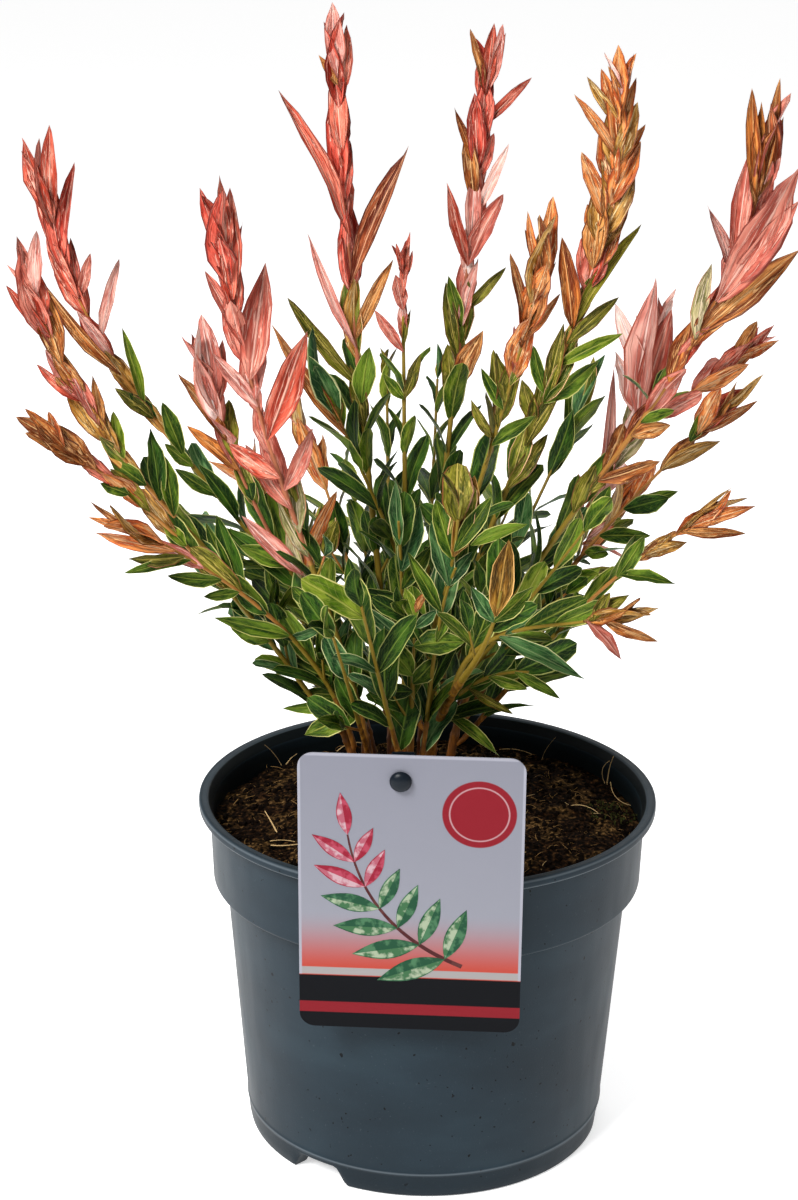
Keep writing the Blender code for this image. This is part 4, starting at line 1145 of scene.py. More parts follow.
# %% Grow the leaves by the rule
FIRST_LEAF = 0.013
FIRST_TWIG_LEAF = 0.008
LENGTH_VARIATION = 0.20
SPREAD_VARIATION = 0.30
GAP_VARIATION = 0.12
WIDTH_VARIATION = 0.12
LEAF_STOPS_AT = (0.88, 1.0)
PAIR_SKEW = 0.3
LOW_LEAF_FULLER = 1.2
TURN_VARIATION = 0.4
LEAF_ROLL = 0.45
SECOND_TIP_LEAF = 0.85
TIP_LEAF_SPREAD = 3.0
BUD_DEPTH = 0.4
FOLDS = (1.0, 0.66, 0.4)
TWIG_LEAF_SIZE = 0.82
TWIG_LENGTHS = (0.030, 0.050)
TWIG_SHARES = (0.16, 0.50)
TWIG_ANGLE = 33.0
TWIG_RISE = 0.7
TWIG_RADII = (0.00084, 0.00056)
TWIG_CLEARANCE = 0.08
LEAST_TWIG_SHARE = 0.25
LIMB_GAP = 0.0004
LOWEST_LEAF_Z = 0.1435
CARD_AIR = 0.004
LEAF_OUTLINE = ((0.28, 0.92), (0.66, 0.84), (1.0, 0.0))
VIEW = np.array(camera.matrix_world.to_3x3() @ Vector((0, 0, -1)))
TO_FRONT = np.array([0.0, -1.0, 0.0])
FRONT_HALF = 0.0
STRAIGHT_AT_VIEWER = 0.55
TIP_AT_VIEWER = 0.42
WING = 3
BROAD = 4

Leaf = namedtuple("Leaf", "root along up length width share kind livery")
TWIG_FIELDS = "path start end foot_radius tip_radius share_from share_to nodes socket"
Twig = namedtuple("Twig", TWIG_FIELDS, defaults=(None,))


def free(points):
    """True if these points are clear of every stem, of the pot and of the label."""
    ahead = limb_ends - limb_starts
    offset = points[:, None, :] - limb_starts
    share = np.clip((offset * ahead).sum(-1) / (ahead * ahead).sum(-1), 0, 1)
    apart = np.linalg.norm(offset - share[..., None] * ahead, axis=-1).min(1)
    across = np.abs(points[:, 0]) < CARD_WIDTH / 2 + CARD_AIR
    near = points[:, 1] < STAKE_Y + CARD_AIR
    behind_card = across & near & (points[:, 2] < CARD_TOP_Z + CARD_AIR)
    off_limbs = (apart > STEM_FOOT_RADIUS + LIMB_GAP).all()
    return off_limbs and (points[:, 2] > LOWEST_LEAF_Z).all() and not behind_card.any()


def fitted_leaf(path, distance, turn, roll, spread, length, width, share, kind):
    """The leaf as the rule has it, or folded closer to its shoot to clear what is near, or None."""
    point, growth = path.at(distance)
    out = swung(path.sideways, growth, turn)
    for fold in FOLDS:
        angle = math.radians(spread * fold)
        along = unit(growth * math.cos(angle) + out * math.sin(angle))
        up = swung(unit(growth - growth.dot(along) * along), along, roll)
        side = np.cross(along, up) * width / 2
        root = point + out * SHOOT_TIP_RADIUS * BUD_DEPTH
        right = [root + along * length * far + side * wide for far, wide in LEAF_OUTLINE]
        left = [root + along * length * far - side * wide for far, wide in LEAF_OUTLINE]
        if free(np.array(right + left)):
            hides = kind < 2 and root[1] < FRONT_HALF and -along.dot(VIEW) > STRAIGHT_AT_VIEWER
            return None if hides else Leaf(root, along, up, length, width, share, kind, None)
    return None


def varied(rng, value, share):
    return value * rng.uniform(1 - share, 1 + share)


def leaves_along(path, start, habit, rng, size=1.0, shares=None, pressed_from=1.0):
    """Opposite pairs from start on and two closed leaves at the tip: the leaves, the end and the nodes.

    From the share pressed_from on, they lie pressed to the front and back of the shoot.
    """
    leaves, nodes = [], []
    last = path.length - habit.leaf[2] * size

    def bear(distance, turn, spread, length, band):
        share = distance / path.length
        seen = share if shares is None else shares[0] + (shares[1] - shares[0]) * share
        width = length * varied(rng, habit.width, WIDTH_VARIATION) * (1 if band else LOW_LEAF_FULLER)
        length = min(length, (path.length - distance) * rng.uniform(*LEAF_STOPS_AT))
        roll = rng.uniform(-LEAF_ROLL, LEAF_ROLL)
        found = fitted_leaf(path, distance, turn, roll, spread, length, width, seen, band)
        tip_gives_way = band == 2 and pressed_from < 1 and habit is HABITS["leafy"]
        if found and not (tip_gives_way and -found.along.dot(VIEW) > TIP_AT_VIEWER):
            leaves.append(found)
            nodes.append(distance)

    place, turn = start, rng.uniform(0, math.tau)
    while place < last:
        share = place / path.length
        band = 0 if share < habit.tint_from else 1 if share < habit.tip_from else 2
        pressed = share > pressed_from
        if pressed:
            upwards = np.cross(path.at(place)[1], path.sideways)
            turn = math.atan2(TO_FRONT.dot(upwards), TO_FRONT.dot(path.sideways))
        for half_turn in (0, math.pi):
            closed = pressed and band > 0
            length = varied(rng, habit.leaf[band] * size, LENGTH_VARIATION) * (PRESSED_SIZE if closed else 1)
            spread = varied(rng, PRESSED_SPREAD if closed else habit.spread[band], SPREAD_VARIATION)
            if pressed and not closed and not half_turn:
                continue
            bear(place, turn + half_turn + rng.uniform(-PAIR_SKEW, PAIR_SKEW), spread, length, band)
        place += varied(rng, habit.gap[band] * size, GAP_VARIATION)
        turn += math.pi / 2 + rng.uniform(-TURN_VARIATION, TURN_VARIATION)
    bear(last, turn, TIP_LEAF_SPREAD, habit.leaf[2] * size, 2)
    bear(last, turn + math.pi, habit.spread[2], habit.leaf[2] * size * SECOND_TIP_LEAF, 2)
    return leaves, last, nodes


def twig_path(path, distance, turn, length):
    """A short side twig that bends up along its shoot."""
    point, along = path.at(distance)
    out = swung(path.sideways, along, turn)
    angle = math.radians(TWIG_ANGLE)
    heading = along * math.cos(angle) + out * math.sin(angle)
    lean = math.degrees(math.atan2(math.hypot(heading[0], heading[1]), heading[2]))
    azimuth = math.degrees(math.atan2(heading[0], heading[1]))
    twig = Path(point, azimuth, lean, lean * TWIG_RISE, 0, length)
    return twig if free(twig.points[PATH_STEPS // 3 :]) else None


# Leaves that stand out on a shoot in the front view. Each has the share of the shoot's length where
# it starts, in hundredths, how far it turns from the shoot to the right in degrees, its length and
# width in millimetres, and its livery
OUTSTANDING = {
    "left_back": """
        89 -10 33 7 coral, 88 8 39 6 coral, 81 5 37 7 crimson, 83 25 40 5 crimson, 78 -2 32 6 coral,
        78 14 25 4 crimson, 78 38 19 4 salmon, 72 43 34 4 rose, 67 -8 50 5 bronze, 69 -5 25 4 rose,
        62 21 33 4 fresh, 60 -15 20 5 olive, 54 17 23 6 green, 52 -14 15 5 fresh, 47 -18 21 5 green,
        43 6 28 6 deep""",
    "left": """
        92 -8 24 5 salmon, 92 12 25 5 rose, 88 2 27 6 coral, 82 6 36 9 bronze, 86 -21 26 4 coral,
        76 -21 23 4 coral, 76 -8 25 6 rose, 72 5 32 5 salmon, 71 22 22 4 bronze, 67 15 23 5 gilt,
        66 23 19 5 fresh, 58 32 29 7 deep, 55 32 24 6 green, 61 -16 18 6 green, 40 22 32 7 deep,
        42 14 26 5 green""",
    "left_low": """
        86 -3 27 6 bronze, 89 10 21 4 brown, 89 31 15 4 orange, 81 10 22 7 bronze, 72 -22 12 5 green,
        55 -3 14 5 fresh, 66 4 23 5 olive, 26 -35 17 5 green, 42 5 14 5 green""",
    "left_lowest": """
        84 1 29 3 bronze, 80 -11 31 4 orange, 77 -19 31 5 orange, 68 -5 24 5 rose, 74 -34 22 5 olive,
        72 -45 26 4 green, 62 -34 21 5 green, 37 -34 31 6 green, 46 -7 16 5 deep, 56 -48 14 4 green""",
    "left_front": """
        89 -16 28 5 crimson, 89 -1 31 5 coral, 84 6 40 7 coral, 83 16 32 4 crimson, 86 -12 23 4 crimson,
        82 5 27 7 coral, 78 -16 30 5 salmon, 73 22 43 10 salmon, 69 -26 26 5 rose, 70 20 28 7 rose,
        64 35 43 10 coral, 58 -38 23 7 coral, 56 44 26 6 salmon, 53 -18 30 6 salmon, 49 12 27 6 sage,
        45 -10 24 5 sage""",
    "left_middle": """
        82 6 33 8 rose, 83 -6 25 5 coral, 80 19 27 5 salmon, 73 -16 32 5 bronze, 66 -28 27 5 brown,
        69 17 23 6 olive, 36 -23 39 8 deep, 42 -40 21 6 green, 59 15 13 5 deep""",
    "back_left": """
        91 -3 30 7 rose, 89 10 28 5 coral, 90 -29 15 3 bronze, 82 0 36 7 coral, 78 -4 39 8 crimson,
        76 8 25 5 crimson, 72 -22 64 6 coral, 66 28 60 8 umber, 58 -19 51 4 rose, 59 29 36 5 bronze,
        53 -34 47 5 olive, 51 10 23 8 green, 48 -6 26 6 olive""",
    "back_left_inner": "76 -5 30 6 olive, 74 -13 39 5 bronze, 72 -12 54 5 bronze",
    "centre": """
        90 6 26 3 coral, 94 -13 12 2 coral, 93 21 12 2 coral, 88 -14 14 5 salmon, 81 -35 20 4 salmon,
        82 12 15 2 olive, 73 -42 13 4 fresh, 73 19 19 4 olive""",
    "back": """
        91 2 30 5 coral, 91 8 30 4 rose, 91 12 27 4 coral, 91 -19 28 3 bronze, 87 40 29 4 coral,
        84 -2 29 8 crimson, 81 -9 33 7 crimson, 81 -27 29 4 brown, 80 14 21 5 crimson,
        77 -12 32 6 bronze, 75 19 35 4 blush, 69 -20 36 5 coral, 69 20 33 7 salmon, 72 -2 31 6 rose,
        61 -23 22 5 fresh, 63 38 26 4 olive, 61 8 30 5 rose, 53 19 27 8 bronze, 57 -16 32 5 olive,
        51 -11 25 6 olive""",
    "right_middle": """
        86 -2 37 6 orange, 89 -21 24 3 orange, 88 -24 20 3 bronze, 85 -6 28 3 gilt, 80 -25 31 4 bronze,
        78 -7 31 4 orange, 80 4 29 4 gilt, 78 -3 19 4 bronze, 82 13 25 4 orange, 79 23 23 3 orange,
        74 -5 21 4 orange, 74 -14 18 3 salmon, 69 -28 20 5 olive, 65 -21 30 5 olive, 63 -47 18 4 olive,
        62 37 20 5 green, 72 9 16 4 edged, 68 -46 18 4 green""",
    "right_back": """
        92 -4 28 6 orange, 90 -21 26 5 orange, 93 11 22 2 blush, 94 -18 20 2 blush, 91 -41 23 4 gilt,
        87 -41 30 4 orange, 88 9 29 4 orange, 83 17 29 5 orange, 79 -34 29 6 orange, 85 -11 30 8 gilt,
        81 -14 30 8 gilt, 74 6 41 6 gilt, 76 -33 17 5 orange, 70 1 33 8 coral, 70 -22 22 7 coral,
        65 14 50 5 olive, 63 27 28 5 olive, 60 42 29 5 fresh, 65 -27 37 7 brown, 88 -13 27 7 orange,
        86 10 26 7 gilt, 83 -20 26 8 orange, 81 12 28 8 orange, 79 -8 27 8 bronze, 77 14 27 8 gilt,
        76 -18 26 8 gilt, 73 -10 28 9 bronze, 72 10 28 8 orange, 70 0 24 9 salmon, 56 -8 30 6 olive,
        55 9 28 6 edged, 50 -12 28 7 olive, 49 7 28 6 olive, 44 -8 26 7 edged, 43 12 28 6 olive,
        56 -39 21 5 green, 57 -2 18 4 sage, 55 30 28 7 green, 52 -40 19 6 olive""",
    "right": """
        87 -17 41 5 brown, 87 -4 45 4 bronze, 87 -11 36 5 brown, 87 5 32 4 brown, 89 3 24 3 bronze,
        86 -19 33 3 bronze, 79 -14 44 7 salmon, 77 -6 38 6 coral, 74 3 60 16 salmon, 75 14 46 8 salmon,
        70 20 49 9 bronze, 70 8 34 9 bronze, 78 -45 27 5 rose, 69 -19 30 6 sage, 68 9 28 8 brown,
        63 -13 26 7 brown, 55 36 16 6 bronze, 48 36 26 6 bronze, 57 36 14 4 green, 46 4 15 4 olive,
        43 -13 21 6 olive""",
    "right fork": """
        70 -20 18 5 bronze, 72 -4 20 4 coral, 71 14 19 4 orange, 41 9 25 6 orange, 52 -6 22 5 coral,
        56 6 18 4 orange""",
    "right_outer": """
        89 0 25 4 gilt, 83 17 27 4 orange, 82 -19 22 7 orange, 80 -24 13 5 green, 71 17 27 6 gilt,
        51 46 21 6 green, 59 31 19 7 deep, 60 29 22 5 green, 46 50 10 5 green""",
    "right_back_pale": """
        71 -14 62 12 rose, 73 -4 46 10 salmon, 75 -22 38 7 rose, 80 -38 36 7 blush, 72 -44 30 8 blush,
        90 28 15 2 blush, 69 14 28 7 rose, 55 -29 56 5 rose, 64 -22 22 5 sage, 65 -11 23 6 blush,
        72 -38 18 5 coral, 60 8 24 6 sage""",
    "left_inner": """
        95 -44 34 6 rose, 96 24 35 5 orange, 92 -10 25 5 sage, 90 8 22 5 sage, 82 -34 10 5 green,
        69 -83 14 4 grey, 41 -41 19 5 green, 33 -41 37 7 green, 29 -68 22 6 fresh, 26 -78 31 5 green,
        22 -103 25 9 fresh, 81 63 19 4 grey, 71 74 18 5 green, 52 46 18 4 grey""",
    "right_lowest": """
        83 12 27 5 orange, 80 30 26 4 bronze, 81 -13 26 2 gilt, 60 -16 20 6 green, 61 50 23 5 green,
        69 17 18 5 gilt, 47 -59 8 4 green""",
    "front_right_long": """
        74 -1 24 5 gilt, 76 35 23 4 bronze, 70 57 20 5 salmon, 71 -24 18 5 olive, 73 -48 12 4 olive,
        33 -6 30 5 grey, 30 51 37 6 grey""",
    "front_right": "80 -6 29 8 amber, 78 -51 16 5 grey, 78 31 20 6 fresh",
    "front": """
        77 -54 25 5 grey, 77 79 20 9 green, 66 -41 22 9 green, 63 42 14 7 green, 60 -91 16 6 deep,
        87 -22 13 5 fresh, 90 22 9 3 bronze, 84 47 11 4 grey""",
    "front_middle": """
        73 -35 26 8 grey, 73 14 16 5 grey, 62 -42 27 5 green, 95 22 23 5 green, 51 9 17 4 green""",
    "centre_front": "60 16 27 8 grey, 71 0 26 5 grey, 49 -79 20 5 deep, 53 34 21 6 green",
    "right_middle_inner": "72 5 32 8 amber, 74 25 25 6 green, 71 -25 24 7 green",
    "front_right_low": """
        29 16 25 6 deep, 40 -2 23 4 green, 52 13 18 4 green, 67 33 21 4 green, 53 38 16 4 fresh,
        39 67 21 3 olive, 20 99 28 5 fresh""",
    "left_skirt": "51 3 27 6 green, 44 -21 18 6 green",
}
PRESSED_SPREAD = 5.0
PRESSED_SIZE = 0.72
FORWARD = 0.0012
FORWARD_PER_WIDTH = 0.20
LEAN_TO_VIEWER = 9.0
LEVEL_WIDTH = 6
ROLL_OUT_OF_VIEW = 24.0
SLIM = 4.2
FULLER = 1.18


def outstanding_rows(name):
    """The leaves that stand out on this shoot: share, turn, length and width as numbers, and livery."""
    rows = [row.split() for row in OUTSTANDING[name].split(",")] if name in OUTSTANDING else []
    return [(int(share) / 100, *map(int, sizes), livery) for share, *sizes, livery in rows]


def outstanding_leaf(path, rng, share, turn, length, width, livery):
    """A leaf that shows its face in the front view, turned that far from its shoot."""
    point, growth = path.at(share * path.length)
    ahead = unit(growth - growth.dot(VIEW) * VIEW)
    right = np.cross(VIEW, ahead)
    lean = -math.radians(max(rng.uniform(0, LEAN_TO_VIEWER), width - LEVEL_WIDTH))
    angle = math.radians(turn)
    roll = math.radians(rng.uniform(-ROLL_OUT_OF_VIEW, ROLL_OUT_OF_VIEW))
    flat = ahead * math.cos(angle) + right * math.sin(angle)
    along = flat * math.cos(lean) + VIEW * math.sin(lean)
    up = swung(unit(-VIEW + VIEW.dot(along) * along), along, roll)
    kind = WING if length > SLIM * width else BROAD
    forward = FORWARD + FORWARD_PER_WIDTH * width / 1000
    return Leaf(point - VIEW * forward, along, up, length / 1000, width * FULLER / 1000, share, kind, livery)


foliage, twigs = {}, {}
for mass, paths in runs.items():
    rng = random.Random("dappled willow" + mass)
    foliage[mass], twigs[mass] = [], []
    for number, (path, start, habit) in enumerate(paths):
        standing_out = outstanding_rows(mass.removeprefix("shoot_") + " fork" * number)
        pressed_from = min((row[0] for row in standing_out), default=1.0)
        seen = (fork_starts[mass], 1.0) if number else None
        found, last, nodes = leaves_along(path, start + FIRST_LEAF, habit, rng, 1.0, seen, pressed_from)
        foliage[mass] += found + [outstanding_leaf(path, rng, *row) for row in standing_out]
        thick = STEM_TIP_RADIUS if start else SHOOT_FOOT_RADIUS
        socket = None if number else sockets.get(mass)
        begins = start / path.length
        twigs[mass].append(Twig(path, start, last, thick, SHOOT_TIP_RADIUS, begins, 1.0, nodes, socket))
        for k in range(habit.twigs):
            low, high = TWIG_SHARES
            high = min(high, max(pressed_from - TWIG_CLEARANCE, LEAST_TWIG_SHARE))
            share = low + (high - low) * (k + rng.random()) / habit.twigs
            length, turn = rng.uniform(*TWIG_LENGTHS), rng.uniform(0, math.tau)
            leaves_at = start + (last - start) * share
            twig = twig_path(path, leaves_at, turn, length)
            if twig is None:
                continue
            seen = leaves_at / path.length
            span = (seen, seen + length / path.length)
            bearing = (FIRST_TWIG_LEAF, HABITS["leafy"], rng, TWIG_LEAF_SIZE, span)
            found, end, nodes = leaves_along(twig, *bearing)
            foliage[mass] += found
            twigs[mass].append(Twig(twig, 0, end, *TWIG_RADII, *span, nodes))
print(sum(map(len, foliage.values())), "leaves on", sum(map(len, twigs.values())), "shoots and twigs")

# %% [markdown]
# Wood follows paths, which is what Curve to Mesh is for: a line becomes a curve, and a round profile
# is swept along it, scaled by a thickness stored at every point. The thickness tapers to the tip and
# swells a little at each pair of leaves, where a willow shoot has its nodes. Noise along the normals
# gives the pruned stems the ridges of real bark, and gives the young shoots hardly any. A tone at
# every point picks one of four finishes, since bark is red-brown below and the young wood is olive.

# %% Sweep the wood along its paths
NODE_SWELL = 0.20
SLIMMING = 0.74
NODE_REACH = 0.0011
STEM_SINK = 0.004
STEM_STEP = 0.0007
SHOOT_STEP = 0.0022
FIRST_NODE = 0.008
NODE_GAP = 0.011
NODE_SHIFT = 0.002
FOOT_POINT = 0.0004
LIGHT_BARK_ABOVE = 0.09
WOOD_TONES = {"bark": "7A431F", "olive": "7C661E", "tan": "A06C30", "blush": "A05E40"}


def painted_where(tree, geometry, stored_number, number, material):
    """The geometry with a material where its stored number is this one."""
    numbers = {2: stored_number, 3: number}
    chosen = add(tree, "FunctionNodeCompare", numbers, data_type="INT", operation="EQUAL").outputs[0]
    painted = {0: geometry, "Selection": chosen, "Material": material}
    return add(tree, "GeometryNodeSetMaterial", painted).outputs[0]


tones_in = dict.fromkeys(WOOD_TONES, "Material")
wood_tree, given = new_tree("wood along a path", Sides="Int", Relief="Float", Ridge_Scale="Float", **tones_in)
curve = add(wood_tree, "GeometryNodeMeshToCurve", {0: given["Geometry"]}).outputs[0]
circle = {"Resolution": given["Sides"], "Radius": 1.0}
profile = add(wood_tree, "GeometryNodeCurvePrimitiveCircle", circle).outputs[0]
thick = stored(wood_tree, "thickness", "FLOAT")
sweep = {"Curve": curve, "Profile Curve": profile, "Scale": thick, "Fill Caps": True}
swept = add(wood_tree, "GeometryNodeCurveToMesh", sweep)
drawn_out = scaled(wood_tree, add(wood_tree, "GeometryNodeInputPosition").outputs[0], (1.0, 1.0, 0.22))
ridge_values = {"Vector": drawn_out, "Scale": given["Ridge Scale"], "Detail": 3.0}
ridges = add(wood_tree, "ShaderNodeTexNoise", ridge_values).outputs[0]
depth = product(wood_tree, maths(wood_tree, "SUBTRACT", ridges, 0.5), given["Relief"])
normal = add(wood_tree, "GeometryNodeInputNormal").outputs[0]
push = add(wood_tree, "ShaderNodeVectorMath", {0: normal, "Scale": depth}, operation="SCALE")
shaped = add(wood_tree, "GeometryNodeSetPosition", {"Geometry": swept.outputs[0], "Offset": push.outputs[0]})
geometry = add(wood_tree, "GeometryNodeRealizeInstances", {0: shaped.outputs[0]}).outputs[0]
tone_stored = stored(wood_tree, "tone", "INT")
for k, tone in enumerate(WOOD_TONES):
    geometry = painted_where(wood_tree, geometry, tone_stored, k, given[tone])
deliver(wood_tree, geometry)

wood = {}
for tone, code in WOOD_TONES.items():
    wood[tone], tree, shader = finish("wood " + tone, code, 0.5, 0.2)
    streaks = object_noise(tree, 520.0, 4.0, stretch=(1, 1, 0.25))
    relief(tree, shader, streaks, 0.0005)
tree = wood["bark"].node_tree
shader = tree.nodes["Principled BSDF"]
height = add(tree, "ShaderNodeSeparateXYZ", {0: add(tree, "ShaderNodeTexCoord").outputs["Object"]}).outputs[2]
up_stem = ranged(tree, height, SOIL_LEVEL, SOIL_LEVEL + LIGHT_BARK_ABOVE)
streaks = object_noise(tree, 420.0, 4.0, stretch=(1, 1, 0.2))
low_bark = ramp(tree, streaks, (0.30, "341408"), (0.50, "66300F"), (0.72, "96521E"))
high_bark = ramp(tree, streaks, (0.30, "543610"), (0.50, "7E5A1A"), (0.72, "AC842C"))
paint(tree, shader, mixed(tree, up_stem, low_bark, high_bark))


def line_mesh(name, points, edges, thickness, tones):
    lines = new_object(name, points, [], edges=edges, smooth=False)
    give(lines.data, "thickness", "FLOAT", thickness)
    give(lines.data, "tone", "INT", tones)
    return lines


def wood_lines(name, parts, step, tone_of):
    """A mesh of lines with a thickness and a tone at every point, from twigs and a rule for the tone."""
    points, edges, thickness, tones = [], [], [], []
    for part in parts:
        count = max(3, round((part.end - part.start) / step) + 1)
        first = len(points)
        if part.socket is not None:
            points.append(part.socket)
            thickness.append(part.foot_radius * SLIMMING)
            tones.append(tone_of(part, 0))
        for k, distance in enumerate(np.linspace(part.start, part.end, count)):
            t = k / (count - 1)
            near = min((abs(distance - node) for node in part.nodes), default=1.0)
            swell = 1 + NODE_SWELL * math.exp(-((near / NODE_REACH) ** 2))
            radius = part.foot_radius + (part.tip_radius - part.foot_radius) * t
            points.append(part.path.at(distance)[0])
            thickness.append(radius * swell * SLIMMING)
            tones.append(tone_of(part, t))
        edges += [(k, k + 1) for k in range(first, len(points) - 1)]
    return line_mesh(name, points, edges, thickness, tones)


stem_rng = random.Random("stem nodes")
stem_parts = []
for stem in STEMS:
    path = stems[stem.name]
    evenly = np.arange(FIRST_NODE, stem.bare, NODE_GAP)
    nodes = [node + stem_rng.uniform(-NODE_SHIFT, NODE_SHIFT) for node in evenly]
    stem_parts.append(Twig(path, 0, stem.bare, STEM_FOOT_RADIUS, STEM_TIP_RADIUS, 0, 0, nodes))
lines = wood_lines("stem_lines", stem_parts, STEM_STEP, lambda part, t: 0)
thickness = lines.data.attributes["thickness"].data
for k, corner in enumerate(lines.data.vertices):
    above = corner.co.z - SOIL_LEVEL
    if above < FLARE_HEIGHT:
        thickness[k].value *= 1 + (ROOT_FLARE - 1) * (1 - above / FLARE_HEIGHT)
    if above < FOOT_POINT:
        corner.co.z -= STEM_SINK
stem_nodes = [node for node in NODES if node.startswith("stem_")]
stem_piece = grow("stems", lines, wood_tree, Sides=22, Relief=0.0007, Ridge_Scale=620.0, **wood)
bpy.data.objects.remove(lines)
hand_in(stem_piece, "bark", *stem_nodes)

# %% [markdown]
# A few long straws lie where the photograph shows them, against the wall and over the peat. Each is
# a curve from its foot to its tip that an arch pulls aside, swept by the same tree as the wood.

# %% Lay the long straws
# Foot, tip and arch in millimetres, and half the thickness
Straw = namedtuple("Straw", "foot tip arch radius")
STRAWS = (
    Straw((78.3, 37.6, 134.4), (80.3, 33.6, 150.0), (-0.5, 0, 1), 0.26),
    Straw((78.0, 38.0, 134.2), (79.0, 37.0, 146.5), (-2.5, 0.5, 1), 0.18),
    Straw((79.5, 35.0, 137.5), (86.0, 8.5, 138.0), (-2, -2, -1), 0.18),
    Straw((60.8, 9.1, 137.4), (73.3, 0.5, 136.4), (0, 0, 2), 0.20),
    Straw((51.5, 66.0, 134.8), (57.5, 65.5, 146.0), (-1, 0, 0), 0.12),
    Straw((-63.5, 58.0, 134.3), (-70.5, 51.0, 147.0), (0.5, 0, 0.5), 0.15),
    Straw((-61.7, -20.5, 137.0), (-67.4, -6.3, 140.4), (0, 0.5, 0), 0.38),
    Straw((-63.6, -32.1, 136.6), (-51.0, -35.5, 139.0), (0, -1, 0), 0.28),
    Straw((-65.0, -29.0, 136.8), (-54.0, -32.0, 138.2), (0, 0.5, 0.5), 0.18),
    Straw((31.5, 79.0, 134.0), (47.5, 72.5, 134.8), (0, 0, 1.5), 0.24),
    Straw((-61.7, 58.9, 134.6), (-56.9, 61.9, 138.5), (0, 0.5, 0.5), 0.16),
    Straw((-39.6, 75.0, 134.6), (-25.0, 80.0, 135.0), (0, 0, 3), 0.24),
)
STRAW_STEPS = 16

points, edges, thickness = [], [], []
for straw in STRAWS:
    foot, tip, arch = (np.array(place) / 1000 for place in (straw.foot, straw.tip, straw.arch))
    for k in range(STRAW_STEPS + 1):
        t = k / STRAW_STEPS
        points.append(foot + (tip - foot) * t + arch * 4 * t * (1 - t))
        thickness.append(straw.radius / 1000 * (1 - 0.4 * t))
    edges += [(k, k + 1) for k in range(len(points) - STRAW_STEPS - 1, len(points) - 1)]
lines = line_mesh("straw_lines", points, edges, thickness, [0] * len(points))
straw_finishes = dict.fromkeys(WOOD_TONES, bpy.data.materials["straw"])
straw_shape = {"Sides": 6, "Relief": 0.0002, "Ridge_Scale": 400.0}
laid_straws = grow("laid_straws", lines, wood_tree, **straw_shape, **straw_finishes)
bpy.data.objects.remove(lines)
hand_in(laid_straws, "compost", "compost")

# %% [markdown]
# What makes this willow is its colour. A shoot is green with cream edges low down, turns olive and
# bronze, and ends in a spear of coral, salmon, rose or orange leaves. Each shoot gets a look: where
# it starts to turn, where it is fully tinted, and which mixture of liveries it deals out there. Green
# leaves in the middle of the shrub are dealt from darker ones, because little light comes there. A
# livery is five plain colours: the skin's shade, body and lights, its veins, and the leaf's edge.

# %% Deal out the colours
# Each livery: the blade's shade, its own colour, its light streaks, its veins, and its edge
Livery = namedtuple("Livery", "shade blade light vein edge")
LIVERY_CODES = {
    "deep": "0E2406 1E3C0C 3A5C16 688030 9A9E54",
    "green": "1A3606 3A5410 637C20 889438 B0AC60",
    "fresh": "2C4608 4E680F 7C8C28 A0A448 BCB66A",
    "grey": "163618 30582A 567C46 7E9A62 B8BA82",
    "edged": "3A5212 606E1A 909030 CAB268 D8A87A",
    "olive": "363A08 5A5A12 827C26 BCA852 70401A",
    "sage": "6A6838 98905C BEAE84 E4D0B0 A87454",
    "amber": "3E2A0A 70490F 9A7028 C29448 CC9C58",
    "gilt": "744A16 AE7A32 D6A458 F0D098 70380F",
    "bronze": "662E10 A05A28 CE8848 F0BC80 5A280A",
    "orange": "A24820 D07434 EC9C5C F8CE9C 803412",
    "brown": "6A2A0E A0501E D0803A F2B272 5E2A0E",
    "umber": "5A1E0C 8E4222 BA683E E4A47C 4C1A0A",
    "crimson": "862014 BC4232 E26C58 F6AE9A 6E1C12",
    "coral": "9C3220 CA5842 E6826A F8BCA6 82301E",
    "salmon": "9E4234 C66A58 DE8C78 F2BEAC 8E3828",
    "rose": "AE5C4E D4887A E8AE9E F6D4C8 984A38",
    "blush": "DEA090 F6CCBE FCDED4 FFF8F4 C47A68",
}
LIVERIES = {name: Livery(*codes.split()) for name, codes in LIVERY_CODES.items()}

# The liveries that each mixture deals out, as often as they are named
MIXTURES = {
    "green": "deep green green deep fresh grey",
    "shady": "deep deep deep green",
    "turning": "edged olive green fresh",
    "olive": "olive gilt edged",
    "gold": "gilt orange bronze gilt",
    "orange": "orange orange gilt bronze",
    "bronze": "bronze orange brown coral",
    "brown": "brown bronze umber",
    "coral": "coral crimson coral salmon",
    "crimson": "crimson coral crimson",
    "salmon": "salmon coral rose salmon",
    "rose": "rose salmon blush",
    "pale": "blush rose edged",
}

